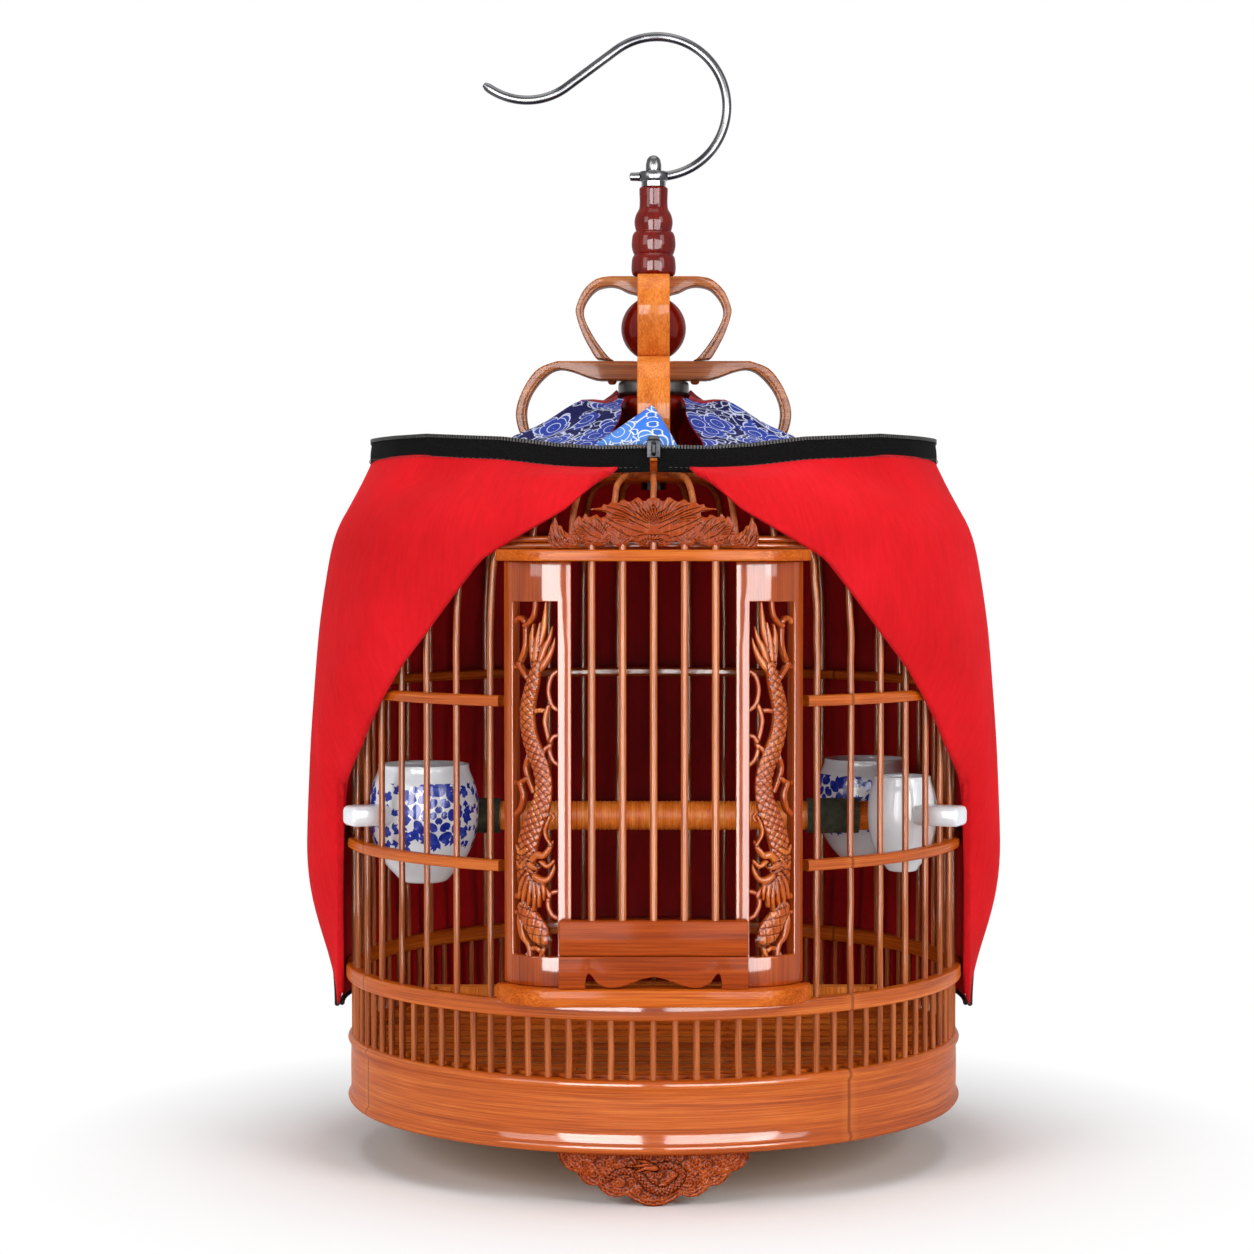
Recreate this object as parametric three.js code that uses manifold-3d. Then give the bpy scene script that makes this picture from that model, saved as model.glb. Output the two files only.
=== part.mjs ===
// Bamboo bird cage: round barred wall and dome, flat-fronted portal with a door that slides up,
// crown of bent strips with a turned handle and a swivelling steel hook, and an opened cloth cover.
// Millimetres, +Z up. The door faces -Y. The origin is on the floor at the cage's axis.
import * as THREE from "three";
import { mergeVertices } from "three/addons/utils/BufferGeometryUtils.js";
import Module from "manifold-3d";

const wasm = await Module();
wasm.setup();

// Clearances
const slack = 0.3;
const runningGap = 0.5;
const overrun = 4;

// Base: three carved feet, a bent rim, a slatted floor and a board that drops out
const footHeight = 27;
const footWidth = 98;
const footThickness = 7;
const footTuck = 9;
const footCount = 3;
const footLandWidth = 24;
const rimRadius = 165;
const rimHeight = 36.5;
const rimWall = 7;
const rimBead = 1.6;
const rimBeadHeight = 5;
const ledgeDepth = 7;
const ledgeHeight = 6;
const ledgeDrop = 3.5;
const slatPitch = 20;
const slatSize = 2.6;
const grateFrameWidth = 6;
const grateHeight = 4.5;
const boardThickness = 5;
const boardLift = 4;

// Wall: round bars threaded through three rings
const barDiameter = 3.2;
const barSides = 4;
const mainBars = 48;
const ringWall = 2.3;
const coreDepth = 5;
const lowerGap = 29.6;
const lowerRingHeight = 8.2;
const middleGap = 63;
const bandHeight = 5.4;
const upperGap = 76;
const shoulderGap = 72.5;
const bendDrop = 46;
const shoulderInset = 4.5;
const portalHalfAngle = 27.5;
const lowerSectors = 4;
const wallSectors = 6;
const domeSectors = 4;

// Dome: ribs that rise to a round top board
const domeRise = 38;
const topBoardRadius = 72;
const topBoardThickness = 9.5;
const topBoardEdge = 2.4;
const topBoardLap = 3.2;
const shoulderHoopHeight = 6;
const shoulderHoopWall = 1.8;
const hoopStripWidth = 2.6;
const hoopStripHeight = 2;

// Portal: sill, threshold, two carved panels and a top rail
const portalStandOff = 12;
const portalHalfFlat = 46;
const wingSetback = 14.44;
const plankSweep = 80;
const sillThickness = 8.5;
const railThickness = 5.5;
const railDrop = 0.4;
const panelThickness = 5;
const panelInset = 9;
const panelCornerInset = 3;
const panelSweep = 72;
const doorwayWidth = 80;
const windowInnerMargin = 6.6;
const windowOuterMargin = 4.3;
const windowBottomMargin = 14.5;
const windowTopMargin = 19.5;
const dragonWidth = 8;
const dragonSwing = 4.5;
const dragonLink = 2.4;
const thresholdHeight = 15.6;
const thresholdCutHeight = 7;
const thresholdCutWidth = 64;
const beamSetback = 44;

// Door: five bars between a carved crest and a bottom board
const doorBoardWidth = 92;
const doorBoardHeight = 17;
const doorBoardThickness = 6;
const doorBarDiameter = 3.6;
const doorBarPitch = 15;
const doorBars = 5;
const doorBarHoleGap = 0.4;
const crestWidth = 104;
const crestHeight = 25;
const crestThickness = 6;

// Crown: beads, bent strips, ball, handle and tie rod
const neckBeadHeight = 36.7;
const neckBeadRadius = 19;
const collarRadius = 19;
const collarHeight = 7.4;
const stripWidth = 17;
const stripThickness = 5;
const lowerTierReach = 73.8;
const lowerShoulder = 10.3;
const upperTierReach = 42.3;
const upperTierHeight = 45.1;
const upperShoulder = 9.9;
const handleHeight = 48;
const handleRadius = 12.2;
const rodDiameter = 5;
const rodHeadRadius = 7;
const rodHeadHeight = 4;
const washerHeight = 2.7;
const washerRadius = 6.5;
const eyeThickness = 5;
const eyeRadius = 8;
const nutRadius = 4.2;
const nutHeight = 8.5;

// Hook: a steel wire bent in one plane
const wireDiameter = 5;
const hookRadius = 37.4;
const hookRise = 37.3;
const hookShift = 2;
const tipRadius = 36;
const tipOffset = 70;
const tipRise = 39.5;
const stubLength = 13;

// Perch and cups
const perchDiameter = 16;
const sleeveDiameter = 19;
const sleeveInset = 31.5;
const sleeveLength = 42;
const cupWall = 2.6;
const lugHeight = 12;
const cupLeftRadius = 28.6;
const cupLeftHeight = 62;
const cupLeftLift = 46.7;
const cupLeftGap = 0.7;
const cupLeftLug = 18.5;
const cupBackRadius = 27;
const cupBackHeight = 58;
const cupBackLift = 46.7;
const cupBackGap = 8.9;
const cupPerchGap = 3.87;
const cupBackLug = 4.3;
const cupFrontRadius = 18;
const cupFrontHeight = 50;
const cupFrontLift = 52.7;
const cupFrontGap = 0.9;
const cupFrontLug = 16.5;

// Cloth cover: a body that hugs the cage and two flaps folded out, each with half of a zip
const clothThickness = 1.6;
const clothGap = 0.4;
const coverHem = 77;
const slotInner = 50;
const flapHem = 90;
const flapFlare = 21;
const zipWidth = 10.5;
const zipThickness = 1.8;
const zipFrontInset = 1.5;
const zipSideInset = 6;
const zipRise = 10;
const sliderWidth = 7;
const sliderHeight = 9;
const sliderDepth = 6;
const pullLength = 15;
const pullWidth = 6;
const pullThickness = 2;

// Radii, from the rim's
const barRadius = barDiameter / 2;
const barCircle = rimRadius - rimWall / 2;
const ringOuter = barCircle + barRadius + 2 * slack + ringWall;
const coreInner = barCircle - coreDepth;
const sleeveStart = coreInner - sleeveInset - sleeveLength;
const shoulderRadius = barCircle - shoulderInset;
const degrees = Math.PI / 180;
const portalReach = ringOuter + portalStandOff;
const plankDepth = portalStandOff + coreDepth;
const plankCornerRadius = (portalStandOff + wingSetback) / (1 - Math.cos(plankSweep * degrees));
const panelCornerRadius = plankCornerRadius - panelCornerInset;
const panelFace = portalReach - panelInset;
const doorPlane = -(panelFace + slack + doorBoardThickness / 2);
const flapReach = ringOuter + flapFlare;
const zipFront = (topBoardRadius + shoulderRadius) / 2 - zipFrontInset;
const zipSide = shoulderRadius - zipSideInset;

// Levels, from the floor up
const rimTop = footHeight + rimHeight;
const lowerRingBottom = rimTop + lowerGap;
const lowerRingTop = lowerRingBottom + lowerRingHeight;
const middleRingBottom = lowerRingTop + middleGap;
const middleRingTop = middleRingBottom + bandHeight;
const upperRingBottom = middleRingTop + upperGap;
const upperRingTop = upperRingBottom + bandHeight;
const shoulderLevel = upperRingTop + shoulderGap;
const ribTopLevel = shoulderLevel + domeRise;
const topBoardBottom = ribTopLevel - topBoardLap;
const topBoardTop = topBoardBottom + topBoardThickness;
const sillTop = lowerRingTop + slack + sillThickness;
const railTop = shoulderLevel - railDrop;
const railBottom = railTop - railThickness;
const panelHeight = railBottom - sillTop - 2 * slack;
const doorBoardBottom = sillTop + slack + thresholdHeight + slack;
const doorBoardTop = doorBoardBottom + doorBoardHeight;
const crestBottom = railTop + slack;
const doorBarRadius = doorBarDiameter / 2;
const rodRadius = rodDiameter / 2;
const rodHole = rodRadius + slack;

// A cup stands inside the bars by its gap, hangs above the lower ring by its lift and reaches out by its lug
function cupSize(name, side, angle, lugAngle, sizes) {
  const [radius, height, lift, gap, lug] = sizes;
  const distance = barCircle - barRadius - gap - radius;
  const base = lowerRingTop + lift;
  return { name, side, radius, height, distance, angle, lugAngle, lugReach: barCircle + lug, base };
}
const barAngle = 360 / mainBars;
const cupFrontAngle = 67.5;
const cupFrontLugAngle = cupFrontAngle - barAngle / 2;
const cupBackDistance = barCircle - barRadius - cupBackGap - cupBackRadius;
const cupBackAside = cupBackRadius + sleeveDiameter / 2 + cupPerchGap;
const cupBackAngle = 90 + Math.asin(cupBackAside / cupBackDistance) / degrees;
const cupBackLugAngle = (Math.floor(cupBackAngle / barAngle) + 0.5) * barAngle;
const cupSizes = [
  cupSize("cup_left", -1, cupFrontAngle, cupFrontLugAngle,
    [cupLeftRadius, cupLeftHeight, cupLeftLift, cupLeftGap, cupLeftLug]),
  cupSize("cup_right_back", 1, cupBackAngle, cupBackLugAngle,
    [cupBackRadius, cupBackHeight, cupBackLift, cupBackGap, cupBackLug]),
  cupSize("cup_right_front", 1, cupFrontAngle, cupFrontLugAngle,
    [cupFrontRadius, cupFrontHeight, cupFrontLift, cupFrontGap, cupFrontLug]),
];

// Materials
function finish(color, roughness, metalness = 0) {
  return new THREE.MeshStandardMaterial({ color, roughness, metalness });
}
const bamboo = finish(0xa9602a, 0.35);
const carved = finish(0x9a4a20, 0.5);
const lacquer = finish(0x7a1410, 0.15);
const blackWood = finish(0x1c1512, 0.5);
const steel = finish(0xb9bcc0, 0.25, 1);
const porcelain = finish(0xf2f4f6, 0.15);
const perchWood = finish(0xc4702e, 0.5);
const gritSleeve = finish(0x3a3c33, 0.95);
const lining = finish(0xd01828, 0.9);
const zipCloth = finish(0x18191a, 0.85);

const cage = new THREE.Group();
cage.name = "bird_cage";

// Adds a piece, given as a closed geometry or as a solid
function add(name, shape, material) {
  const body = shape.isBufferGeometry ? solid(shape) : shape;
  const piece = new THREE.Mesh(geometryOf(body), material);
  piece.name = name;
  cage.add(piece);
}

// Closed geometry to solid and back
function merged(geometry) {
  const bare = geometry.clone();
  bare.deleteAttribute("normal");
  bare.deleteAttribute("uv");
  return mergeVertices(bare, slack / 1000);
}

function signedVolume(position, index) {
  const a = new THREE.Vector3();
  const b = new THREE.Vector3();
  const c = new THREE.Vector3();
  let sum = 0;
  for (let i = 0; i < index.length; i += 3) {
    a.fromBufferAttribute(position, index[i]);
    b.fromBufferAttribute(position, index[i + 1]);
    c.fromBufferAttribute(position, index[i + 2]);
    sum += a.dot(b.cross(c));
  }
  return sum;
}

function solid(geometry) {
  const clean = merged(geometry);
  const corners = Uint32Array.from(clean.index.array);
  if (signedVolume(clean.attributes.position, corners) < 0) {
    corners.reverse();
  }
  const vertProperties = Float32Array.from(clean.attributes.position.array);
  return new wasm.Manifold(new wasm.Mesh({ numProp: 3, vertProperties, triVerts: corners }));
}

function geometryOf(body) {
  const { vertProperties, triVerts } = body.getMesh();
  const geometry = new THREE.BufferGeometry();
  geometry.setAttribute("position", new THREE.BufferAttribute(vertProperties, 3));
  geometry.setIndex(new THREE.BufferAttribute(triVerts, 1));
  return geometry;
}

function joined(bodies) {
  return bodies.reduce((sum, body) => sum.add(body));
}

function cut(body, tools) {
  return tools.reduce((rest, tool) => rest.subtract(tool), body);
}

// The largest body of a cut solid, without the slivers that the cut leaves beside it
function largest(body) {
  return body.decompose().toSorted((a, b) => b.volume() - a.volume())[0];
}

// Shapes
function box(width, depth, height, x, y, bottom) {
  return new THREE.BoxGeometry(width, depth, height).translate(x, y, bottom + height / 2);
}

function upright(radius, bottom, top, sides = 12, x = 0, y = 0) {
  const geometry = new THREE.CylinderGeometry(radius, radius, top - bottom, sides);
  return geometry.rotateX(Math.PI / 2).translate(x, y, (top + bottom) / 2);
}

function turned(profile, segments = 32) {
  const closed = [...profile, profile[0]].map(([r, z]) => new THREE.Vector2(r, z));
  return new THREE.LatheGeometry(closed, segments).rotateX(Math.PI / 2);
}

function turnedOnAxis(profile, segments = 32) {
  const points = profile.map(([r, z]) => new THREE.Vector2(r, z));
  return new THREE.LatheGeometry(points, segments).rotateX(Math.PI / 2);
}

function outline(points) {
  return new THREE.Shape(points.map(([x, y]) => new THREE.Vector2(x, y)));
}

// A plan outline raised along Z
function raised(shape, bottom, height, curveSegments = 10) {
  const geometry = new THREE.ExtrudeGeometry(shape, { depth: height, bevelEnabled: false, curveSegments });
  return geometry.translate(0, 0, bottom);
}

// An elevation outline in X and Z, made solid from front to back
function plate(shape, front, back, curveSegments = 10) {
  const depth = back - front;
  const geometry = new THREE.ExtrudeGeometry(shape, { depth, bevelEnabled: false, curveSegments });
  return geometry.rotateX(Math.PI / 2).translate(0, back, 0);
}

// The direction of an angle that is counted from the door towards +X
function around(radius, angle) {
  return [radius * Math.sin(angle * degrees), -radius * Math.cos(angle * degrees)];
}

// A ring sector with a rectangular section, its corners on the given angles
function ringSector(inner, outer, bottom, top, angles) {
  const points = [
    ...angles.map((angle) => around(outer, angle)),
    ...angles.toReversed().map((angle) => around(inner, angle)),
  ];
  return raised(outline(points), bottom, top - bottom);
}

// A round bar along a path of radius and height, turned to an angle about the axis
function bar(path, angle, radius = barRadius, sides = barSides) {
  const positions = [];
  const index = [];
  path.forEach(([r, z], step) => {
    const [r0, z0] = path[Math.max(step - 1, 0)];
    const [r1, z1] = path[Math.min(step + 1, path.length - 1)];
    const run = Math.hypot(r1 - r0, z1 - z0);
    for (let side = 0; side < sides; side += 1) {
      const turn = (2 * Math.PI * side) / sides;
      const outward = radius * Math.cos(turn);
      const across = radius * Math.sin(turn);
      const reach = r + (outward * (z1 - z0)) / run;
      const level = z - (outward * (r1 - r0)) / run;
      const [x, y] = around(reach, angle);
      positions.push(x + across * Math.cos(angle * degrees), y + across * Math.sin(angle * degrees), level);
    }
  });
  for (let step = 0; step < path.length - 1; step += 1) {
    for (let side = 0; side < sides; side += 1) {
      const a = step * sides + side;
      const b = step * sides + ((side + 1) % sides);
      index.push(a, b, a + sides, b, b + sides, a + sides);
    }
  }
  const last = (path.length - 1) * sides;
  for (let side = 1; side < sides - 1; side += 1) {
    index.push(0, side + 1, side, last, last + side, last + side + 1);
  }
  const geometry = new THREE.BufferGeometry();
  geometry.setAttribute("position", new THREE.Float32BufferAttribute(positions, 3));
  geometry.setIndex(index);
  return geometry;
}

// A sheet of even thickness over a grid of points, closed along its four edges
function sheet(columns, rows, pointAt, thickness) {
  const inner = [];
  for (let row = 0; row <= rows; row += 1) {
    for (let column = 0; column <= columns; column += 1) {
      inner.push(new THREE.Vector3(...pointAt(column / columns, row / rows)));
    }
  }
  const at = (column, row) => row * (columns + 1) + column;
  const outer = inner.map((point, i) => {
    const column = i % (columns + 1);
    const row = Math.floor(i / (columns + 1));
    const along = inner[at(Math.min(column + 1, columns), row)].clone();
    along.sub(inner[at(Math.max(column - 1, 0), row)]);
    const down = inner[at(column, Math.min(row + 1, rows))].clone();
    down.sub(inner[at(column, Math.max(row - 1, 0))]);
    return point.clone().addScaledVector(down.cross(along).normalize(), thickness);
  });
  const count = inner.length;
  const index = [];
  const quad = (a, b, c, d) => index.push(a, b, c, a, c, d);
  for (let row = 0; row < rows; row += 1) {
    for (let column = 0; column < columns; column += 1) {
      const [a, b] = [at(column, row), at(column + 1, row)];
      const [c, d] = [at(column + 1, row + 1), at(column, row + 1)];
      quad(a, b, c, d);
      quad(count + d, count + c, count + b, count + a);
    }
  }
  for (let column = 0; column < columns; column += 1) {
    quad(at(column + 1, 0), at(column, 0), count + at(column, 0), count + at(column + 1, 0));
    quad(at(column, rows), at(column + 1, rows), count + at(column + 1, rows), count + at(column, rows));
  }
  for (let row = 0; row < rows; row += 1) {
    quad(at(0, row), at(0, row + 1), count + at(0, row + 1), count + at(0, row));
    quad(at(columns, row + 1), at(columns, row), count + at(columns, row), count + at(columns, row + 1));
  }
  const geometry = new THREE.BufferGeometry();
  const values = [...inner, ...outer].flatMap((point) => [point.x, point.y, point.z]);
  geometry.setAttribute("position", new THREE.Float32BufferAttribute(values, 3));
  geometry.setIndex(index);
  return geometry;
}

// A value read between the rows of a table of [key, value]
function between(table, key) {
  if (key <= table[0][0]) {
    return table[0][1];
  }
  for (let i = 1; i < table.length; i += 1) {
    const [k0, v0] = table[i - 1];
    const [k1, v1] = table[i];
    if (key <= k1) {
      return v0 + ((v1 - v0) * (key - k0)) / (k1 - k0);
    }
  }
  return table[table.length - 1][1];
}

function easing(share) {
  const t = Math.min(Math.max(share, 0), 1);
  return t * t * (3 - 2 * t);
}

// Base
const rimInner = rimRadius - rimWall;
const boardRadius = rimInner - slack - footThickness - runningGap;

function buildRim() {
  const ledgeTop = rimTop - ledgeDrop;
  const ledgeBottom = ledgeTop - ledgeHeight;
  add("base_rim", turned([
    [rimRadius, footHeight],
    [rimRadius, footHeight + rimBeadHeight],
    [rimRadius - rimBead, footHeight + rimBeadHeight],
    [rimRadius - rimBead, rimTop - rimBeadHeight],
    [rimRadius, rimTop - rimBeadHeight],
    [rimRadius, rimTop],
    [rimInner, rimTop],
    [rimInner, ledgeTop],
    [rimInner - ledgeDepth, ledgeTop],
    [rimInner, ledgeBottom],
    [rimInner, footHeight],
  ], 48), bamboo);
}

// Half of a foot's scalloped edge, from the middle out: shares of half the width and of the height
const footLobeShares = [
  [0.33, 0.02], [0.4, 0.16], [0.56, 0.18], [0.64, 0.36], [0.78, 0.4], [0.84, 0.62], [1, 1],
];

function buildFeet() {
  const half = footWidth / 2;
  const land = footLandWidth / 2;
  const side = footLobeShares.map(([across, up]) => [half * across, footHeight * up]);
  const top = footHeight + footTuck;
  const points = [[land, 0], ...side, [half, top], [-half, top]];
  points.push(...side.toReversed().map(([x, z]) => [-x, z]), [-land, 0]);
  const outer = rimInner - slack;
  const shell = solid(turned([
    [outer - footThickness, 0],
    [outer, 0],
    [outer, top],
    [outer - footThickness, top],
  ], 72));
  const carving = solid(plate(outline(points), -rimRadius, 0));
  const foot = shell.intersect(carving);
  ["foot_front", "foot_back_right", "foot_back_left"].forEach((name, i) => {
    add(name, geometryOf(foot).rotateZ((i * 2 * Math.PI) / footCount), carved);
  });
}

function buildFloor() {
  const seat = rimTop - ledgeDrop + slack;
  const outer = rimInner - slack;
  const inner = outer - grateFrameWidth;
  const frame = [[inner, seat], [outer, seat], [outer, seat + grateHeight], [inner, seat + grateHeight]];
  const slats = [solid(turned(frame, 24))];
  const rows = Math.floor(inner / slatPitch);
  const middle = inner + grateFrameWidth / 3;
  for (let i = -rows; i <= rows; i += 1) {
    const y = i * slatPitch;
    const length = 2 * Math.sqrt(middle * middle - y * y);
    slats.push(solid(box(length, slatSize, slatSize, 0, y, seat + slatSize / 2)));
  }
  const bearer = 2 * Math.sqrt(middle * middle - slatPitch * slatPitch * 4);
  for (const side of [-1, 1]) {
    slats.push(solid(box(slatSize, bearer, slatSize, side * slatPitch * 2, 0, seat)));
  }
  add("floor_grate", joined(slats), bamboo);
  add("bottom_board", upright(boardRadius, footHeight + boardLift,
    footHeight + boardLift + boardThickness, 48), bamboo);
}

// Wall
const coreOuter = ringOuter - ringWall - 2 * slack;
const portalBars = Math.ceil(portalHalfAngle / barAngle);

function steps(from, to, step) {
  const count = Math.round((to - from) / step);
  return Array.from({ length: count + 1 }, (_, i) => from + i * step);
}

function buildRings() {
  const band = (bottom, top) => [
    [ringOuter - ringWall, bottom],
    [ringOuter, bottom],
    [ringOuter, top],
    [ringOuter - ringWall, top],
  ];
  add("ring_lower", turned(band(lowerRingBottom, lowerRingTop), mainBars), bamboo);
  const open = [portalHalfAngle, ...steps(barAngle * portalBars, 360 - barAngle * portalBars, barAngle)];
  open.push(360 - portalHalfAngle);
  const inner = ringOuter - ringWall;
  add("ring_middle", ringSector(inner, ringOuter, middleRingBottom, middleRingTop, open), bamboo);
  add("ring_upper", ringSector(inner, ringOuter, upperRingBottom, upperRingTop, open), bamboo);
  const hoopInner = shoulderRadius + barRadius + slack;
  const hoopOuter = hoopInner + shoulderHoopWall;
  const hoopBottom = railTop + slack;
  add("shoulder_hoop", turned([
    [hoopInner, hoopBottom],
    [hoopOuter, hoopBottom],
    [hoopOuter, hoopBottom + shoulderHoopHeight],
    [hoopInner, hoopBottom + shoulderHoopHeight],
  ], mainBars), bamboo);
}

// Short bars between the rim and the lower ring, joined by the drilled core of that ring
function buildLowerBars() {
  const pitch = barAngle / 2;
  const perSector = (2 * mainBars) / lowerSectors;
  for (let sector = 0; sector < lowerSectors; sector += 1) {
    const first = sector * perSector * pitch + pitch / 2;
    const angles = steps(first, first + (perSector - 1) * pitch, pitch).map((angle) => angle - pitch / 2);
    const ends = [angles[0] - pitch / 4, ...angles.filter((_, i) => i % 2 === 0), angles.at(-1) + pitch / 4];
    const core = ringSector(coreInner, coreOuter, lowerRingBottom + slack, lowerRingTop - slack, ends);
    const path = [[barCircle, rimTop + slack], [barCircle, lowerRingTop - slack * 2]];
    const bars = angles.map((angle) => solid(bar(path, angle)));
    add(`lower_bars_${sector + 1}`, joined([solid(core), ...bars]), bamboo);
  }
}

// Long bars from the lower ring to the shoulder, joined by the drilled cores of the two upper rings
function buildWallBars() {
  const last = mainBars - portalBars;
  const count = last - portalBars + 1;
  const perSector = Math.ceil(count / wallSectors);
  const path = [
    [barCircle, lowerRingTop + slack],
    [barCircle, shoulderLevel - bendDrop],
    [barCircle - shoulderInset / 3, shoulderLevel - bendDrop / 2],
    [shoulderRadius, shoulderLevel - slack],
  ];
  for (let sector = 0; sector < wallSectors; sector += 1) {
    const from = portalBars + sector * perSector;
    const to = Math.min(from + perSector - 1, last);
    const angles = steps(from * barAngle, to * barAngle, barAngle);
    const ends = [angles[0] - barAngle / 4, ...angles, angles.at(-1) + barAngle / 4];
    const bodies = [[middleRingBottom, middleRingTop], [upperRingBottom, upperRingTop]].map(
      ([bottom, top]) => solid(ringSector(coreInner, coreOuter, bottom + slack, top - slack, ends)),
    );
    bodies.push(...angles.map((angle) => solid(bar(path, angle))));
    add(`wall_bars_${sector + 1}`, joined(bodies), bamboo);
  }
}

// The dome's curve: shares of the way in from the shoulder to the top board, and of the rise
const domeShares = [[0, 0], [0.06, 0.47], [0.19, 0.77], [0.45, 0.93], [1, 1]];

function domePoint(inShare, riseShare) {
  const run = shoulderRadius - topBoardRadius - slack;
  return [shoulderRadius - run * inShare, shoulderLevel + slack + (domeRise - slack) * riseShare];
}

function buildDome() {
  const path = domeShares.map(([inShare, riseShare]) => domePoint(inShare, riseShare));
  path[0][1] += hoopStripHeight / 2;
  const span = 360 / domeSectors;
  for (let sector = 0; sector < domeSectors; sector += 1) {
    const first = (sector - 0.5) * span + barAngle / 2;
    const angles = steps(first, first + span - barAngle, barAngle);
    const ends = [angles[0] - barAngle / 4, ...angles, angles.at(-1) + barAngle / 4];
    const foot = ringSector(shoulderRadius - hoopStripWidth, shoulderRadius + barRadius / 2,
      shoulderLevel + slack, shoulderLevel + slack + hoopStripHeight, ends);
    const ribs = angles.map((angle) => solid(bar(path, angle)));
    add(`dome_ribs_${sector + 1}`, joined([solid(foot), ...ribs]), bamboo);
  }
  add("top_board", turned([
    [rodHole, topBoardBottom],
    [topBoardRadius - slack, topBoardBottom],
    [topBoardRadius - slack, topBoardTop - topBoardEdge],
    [topBoardRadius - topBoardEdge, topBoardTop],
    [rodHole, topBoardTop],
  ], 32), bamboo);
}

// Portal
function bayShape(front, halfFlat, radius, sweep, depth) {
  const shape = new THREE.Shape();
  const start = Math.PI + (90 - sweep) * degrees;
  const centre = -front + radius;
  const down = 1.5 * Math.PI;
  const right = 2 * Math.PI - (90 - sweep) * degrees;
  shape.absarc(-halfFlat, centre, radius, start, down, false);
  shape.absarc(halfFlat, centre, radius, down, right, false);
  shape.absarc(halfFlat, centre, radius - depth, right, down, true);
  shape.absarc(-halfFlat, centre, radius - depth, down, start, true);
  shape.closePath();
  return shape;
}

function buildPortalPlanks() {
  const plank = bayShape(portalReach, portalHalfFlat, plankCornerRadius, plankSweep, plankDepth);
  add("portal_sill", raised(plank, lowerRingTop + slack, sillThickness, 6), bamboo);
  const holes = doorBarPlaces().map((x) => solid(
    upright(doorBarRadius + doorBarHoleGap, railBottom - overrun, railTop + overrun, 8, x, doorPlane),
  ));
  add("portal_top_rail", cut(solid(raised(plank, railBottom, railThickness, 6)), holes), bamboo);
}

// The coiled creature of the openwork: a waving band whose width is a share of its full width
const dragonWidthShares = [[0, 0.5], [0.1, 1.15], [0.3, 1.1], [0.6, 0.9], [0.85, 0.6], [1, 0.3]];
const dragonLinkShares = [0.12, 0.3, 0.48, 0.66, 0.84];
const dragonWaves = 1.5;

function dragonOutline(middle, bottom, top) {
  const count = 12;
  const left = [];
  const right = [];
  for (let i = 0; i <= count; i += 1) {
    const share = i / count;
    const x = middle + dragonSwing * Math.sin(2 * Math.PI * dragonWaves * share);
    const half = (dragonWidth * between(dragonWidthShares, share)) / 2;
    const z = bottom + (top - bottom) * share;
    left.push([x - half, z]);
    right.push([x + half, z]);
  }
  return outline([...left, ...right.toReversed()]);
}

function buildPanels() {
  const bay = bayShape(panelFace, portalHalfFlat, panelCornerRadius, panelSweep, panelThickness);
  const shell = solid(raised(bay, sillTop + slack, panelHeight, 5));
  const edge = portalHalfFlat + panelCornerRadius * Math.sin(panelSweep * degrees);
  const inside = doorwayWidth / 2;
  const low = sillTop + slack + windowBottomMargin;
  const high = sillTop + slack + panelHeight - windowTopMargin;
  const near = inside + windowInnerMargin;
  const far = edge - windowOuterMargin;
  const middle = (near + far) / 2;
  for (const [name, side] of [["portal_panel_left", -1], ["portal_panel_right", 1]]) {
    const mirrored = (geometry) => solid(geometry.scale(side, 1, 1));
    const half = solid(box(edge, portalReach, portalReach * 2, side * (inside + edge / 2), -portalReach, 0));
    const opening = mirrored(box(far - near, portalReach, high - low, middle, -portalReach, low));
    const creature = [mirrored(plate(dragonOutline(middle, low - overrun, high + overrun), -portalReach, 0))];
    dragonLinkShares.forEach((share, i) => {
      const level = low + (high - low) * share;
      const towards = i % 2 === 0 ? near : far;
      const width = Math.abs(towards - middle) + overrun;
      const place = (towards + middle) / 2 + (i % 2 === 0 ? -overrun : overrun) / 2;
      creature.push(mirrored(box(width, portalReach, dragonLink, place, -portalReach / 2, level)));
    });
    const panel = shell.intersect(half);
    const carving = panel.intersect(joined(creature));
    add(name, panel.subtract(opening).add(carving), carved);
  }
}

// Half of the cut-out under the threshold, from its outer end to the middle, as shares of half its
// width and of its height
const thresholdCutShares = [[1, 0.75], [0.94, 1.2], [0.8, 0.45], [0.45, 0.35], [0.22, 0.9], [0, 1.2]];

function buildThreshold() {
  const half = doorBoardWidth / 2;
  const bottom = sillTop + slack;
  const top = bottom + thresholdHeight;
  const cutHalf = thresholdCutWidth / 2;
  const edge = thresholdCutShares.map(([across, up]) => [cutHalf * across, bottom + thresholdCutHeight * up]);
  const points = [[half, bottom], [half, top], [-half, top], [-half, bottom], [-cutHalf, bottom]];
  points.push(...edge.map(([x, z]) => [-x, z]), ...edge.toReversed().slice(1), [cutHalf, bottom]);
  const face = doorPlane - doorBoardThickness / 2;
  add("door_threshold", plate(outline(points), face, face + doorBoardThickness), bamboo);
}

// A squared beam behind the portal, held between the two sides of the lower ring
function buildFloorBeam() {
  const beamHeight = lowerRingHeight + 1.4 * slack;
  const beamDepth = beamHeight;
  const inner = coreInner - 2 * slack;
  const back = inner - beamSetback - beamDepth;
  const near = Math.sqrt(inner * inner - (back + beamDepth) * (back + beamDepth));
  const far = Math.sqrt(inner * inner - back * back);
  const points = [[-near, -back - beamDepth], [near, -back - beamDepth], [far, -back], [-far, -back]];
  add("floor_beam", raised(outline(points), lowerRingBottom, beamHeight), bamboo);
}

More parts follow.
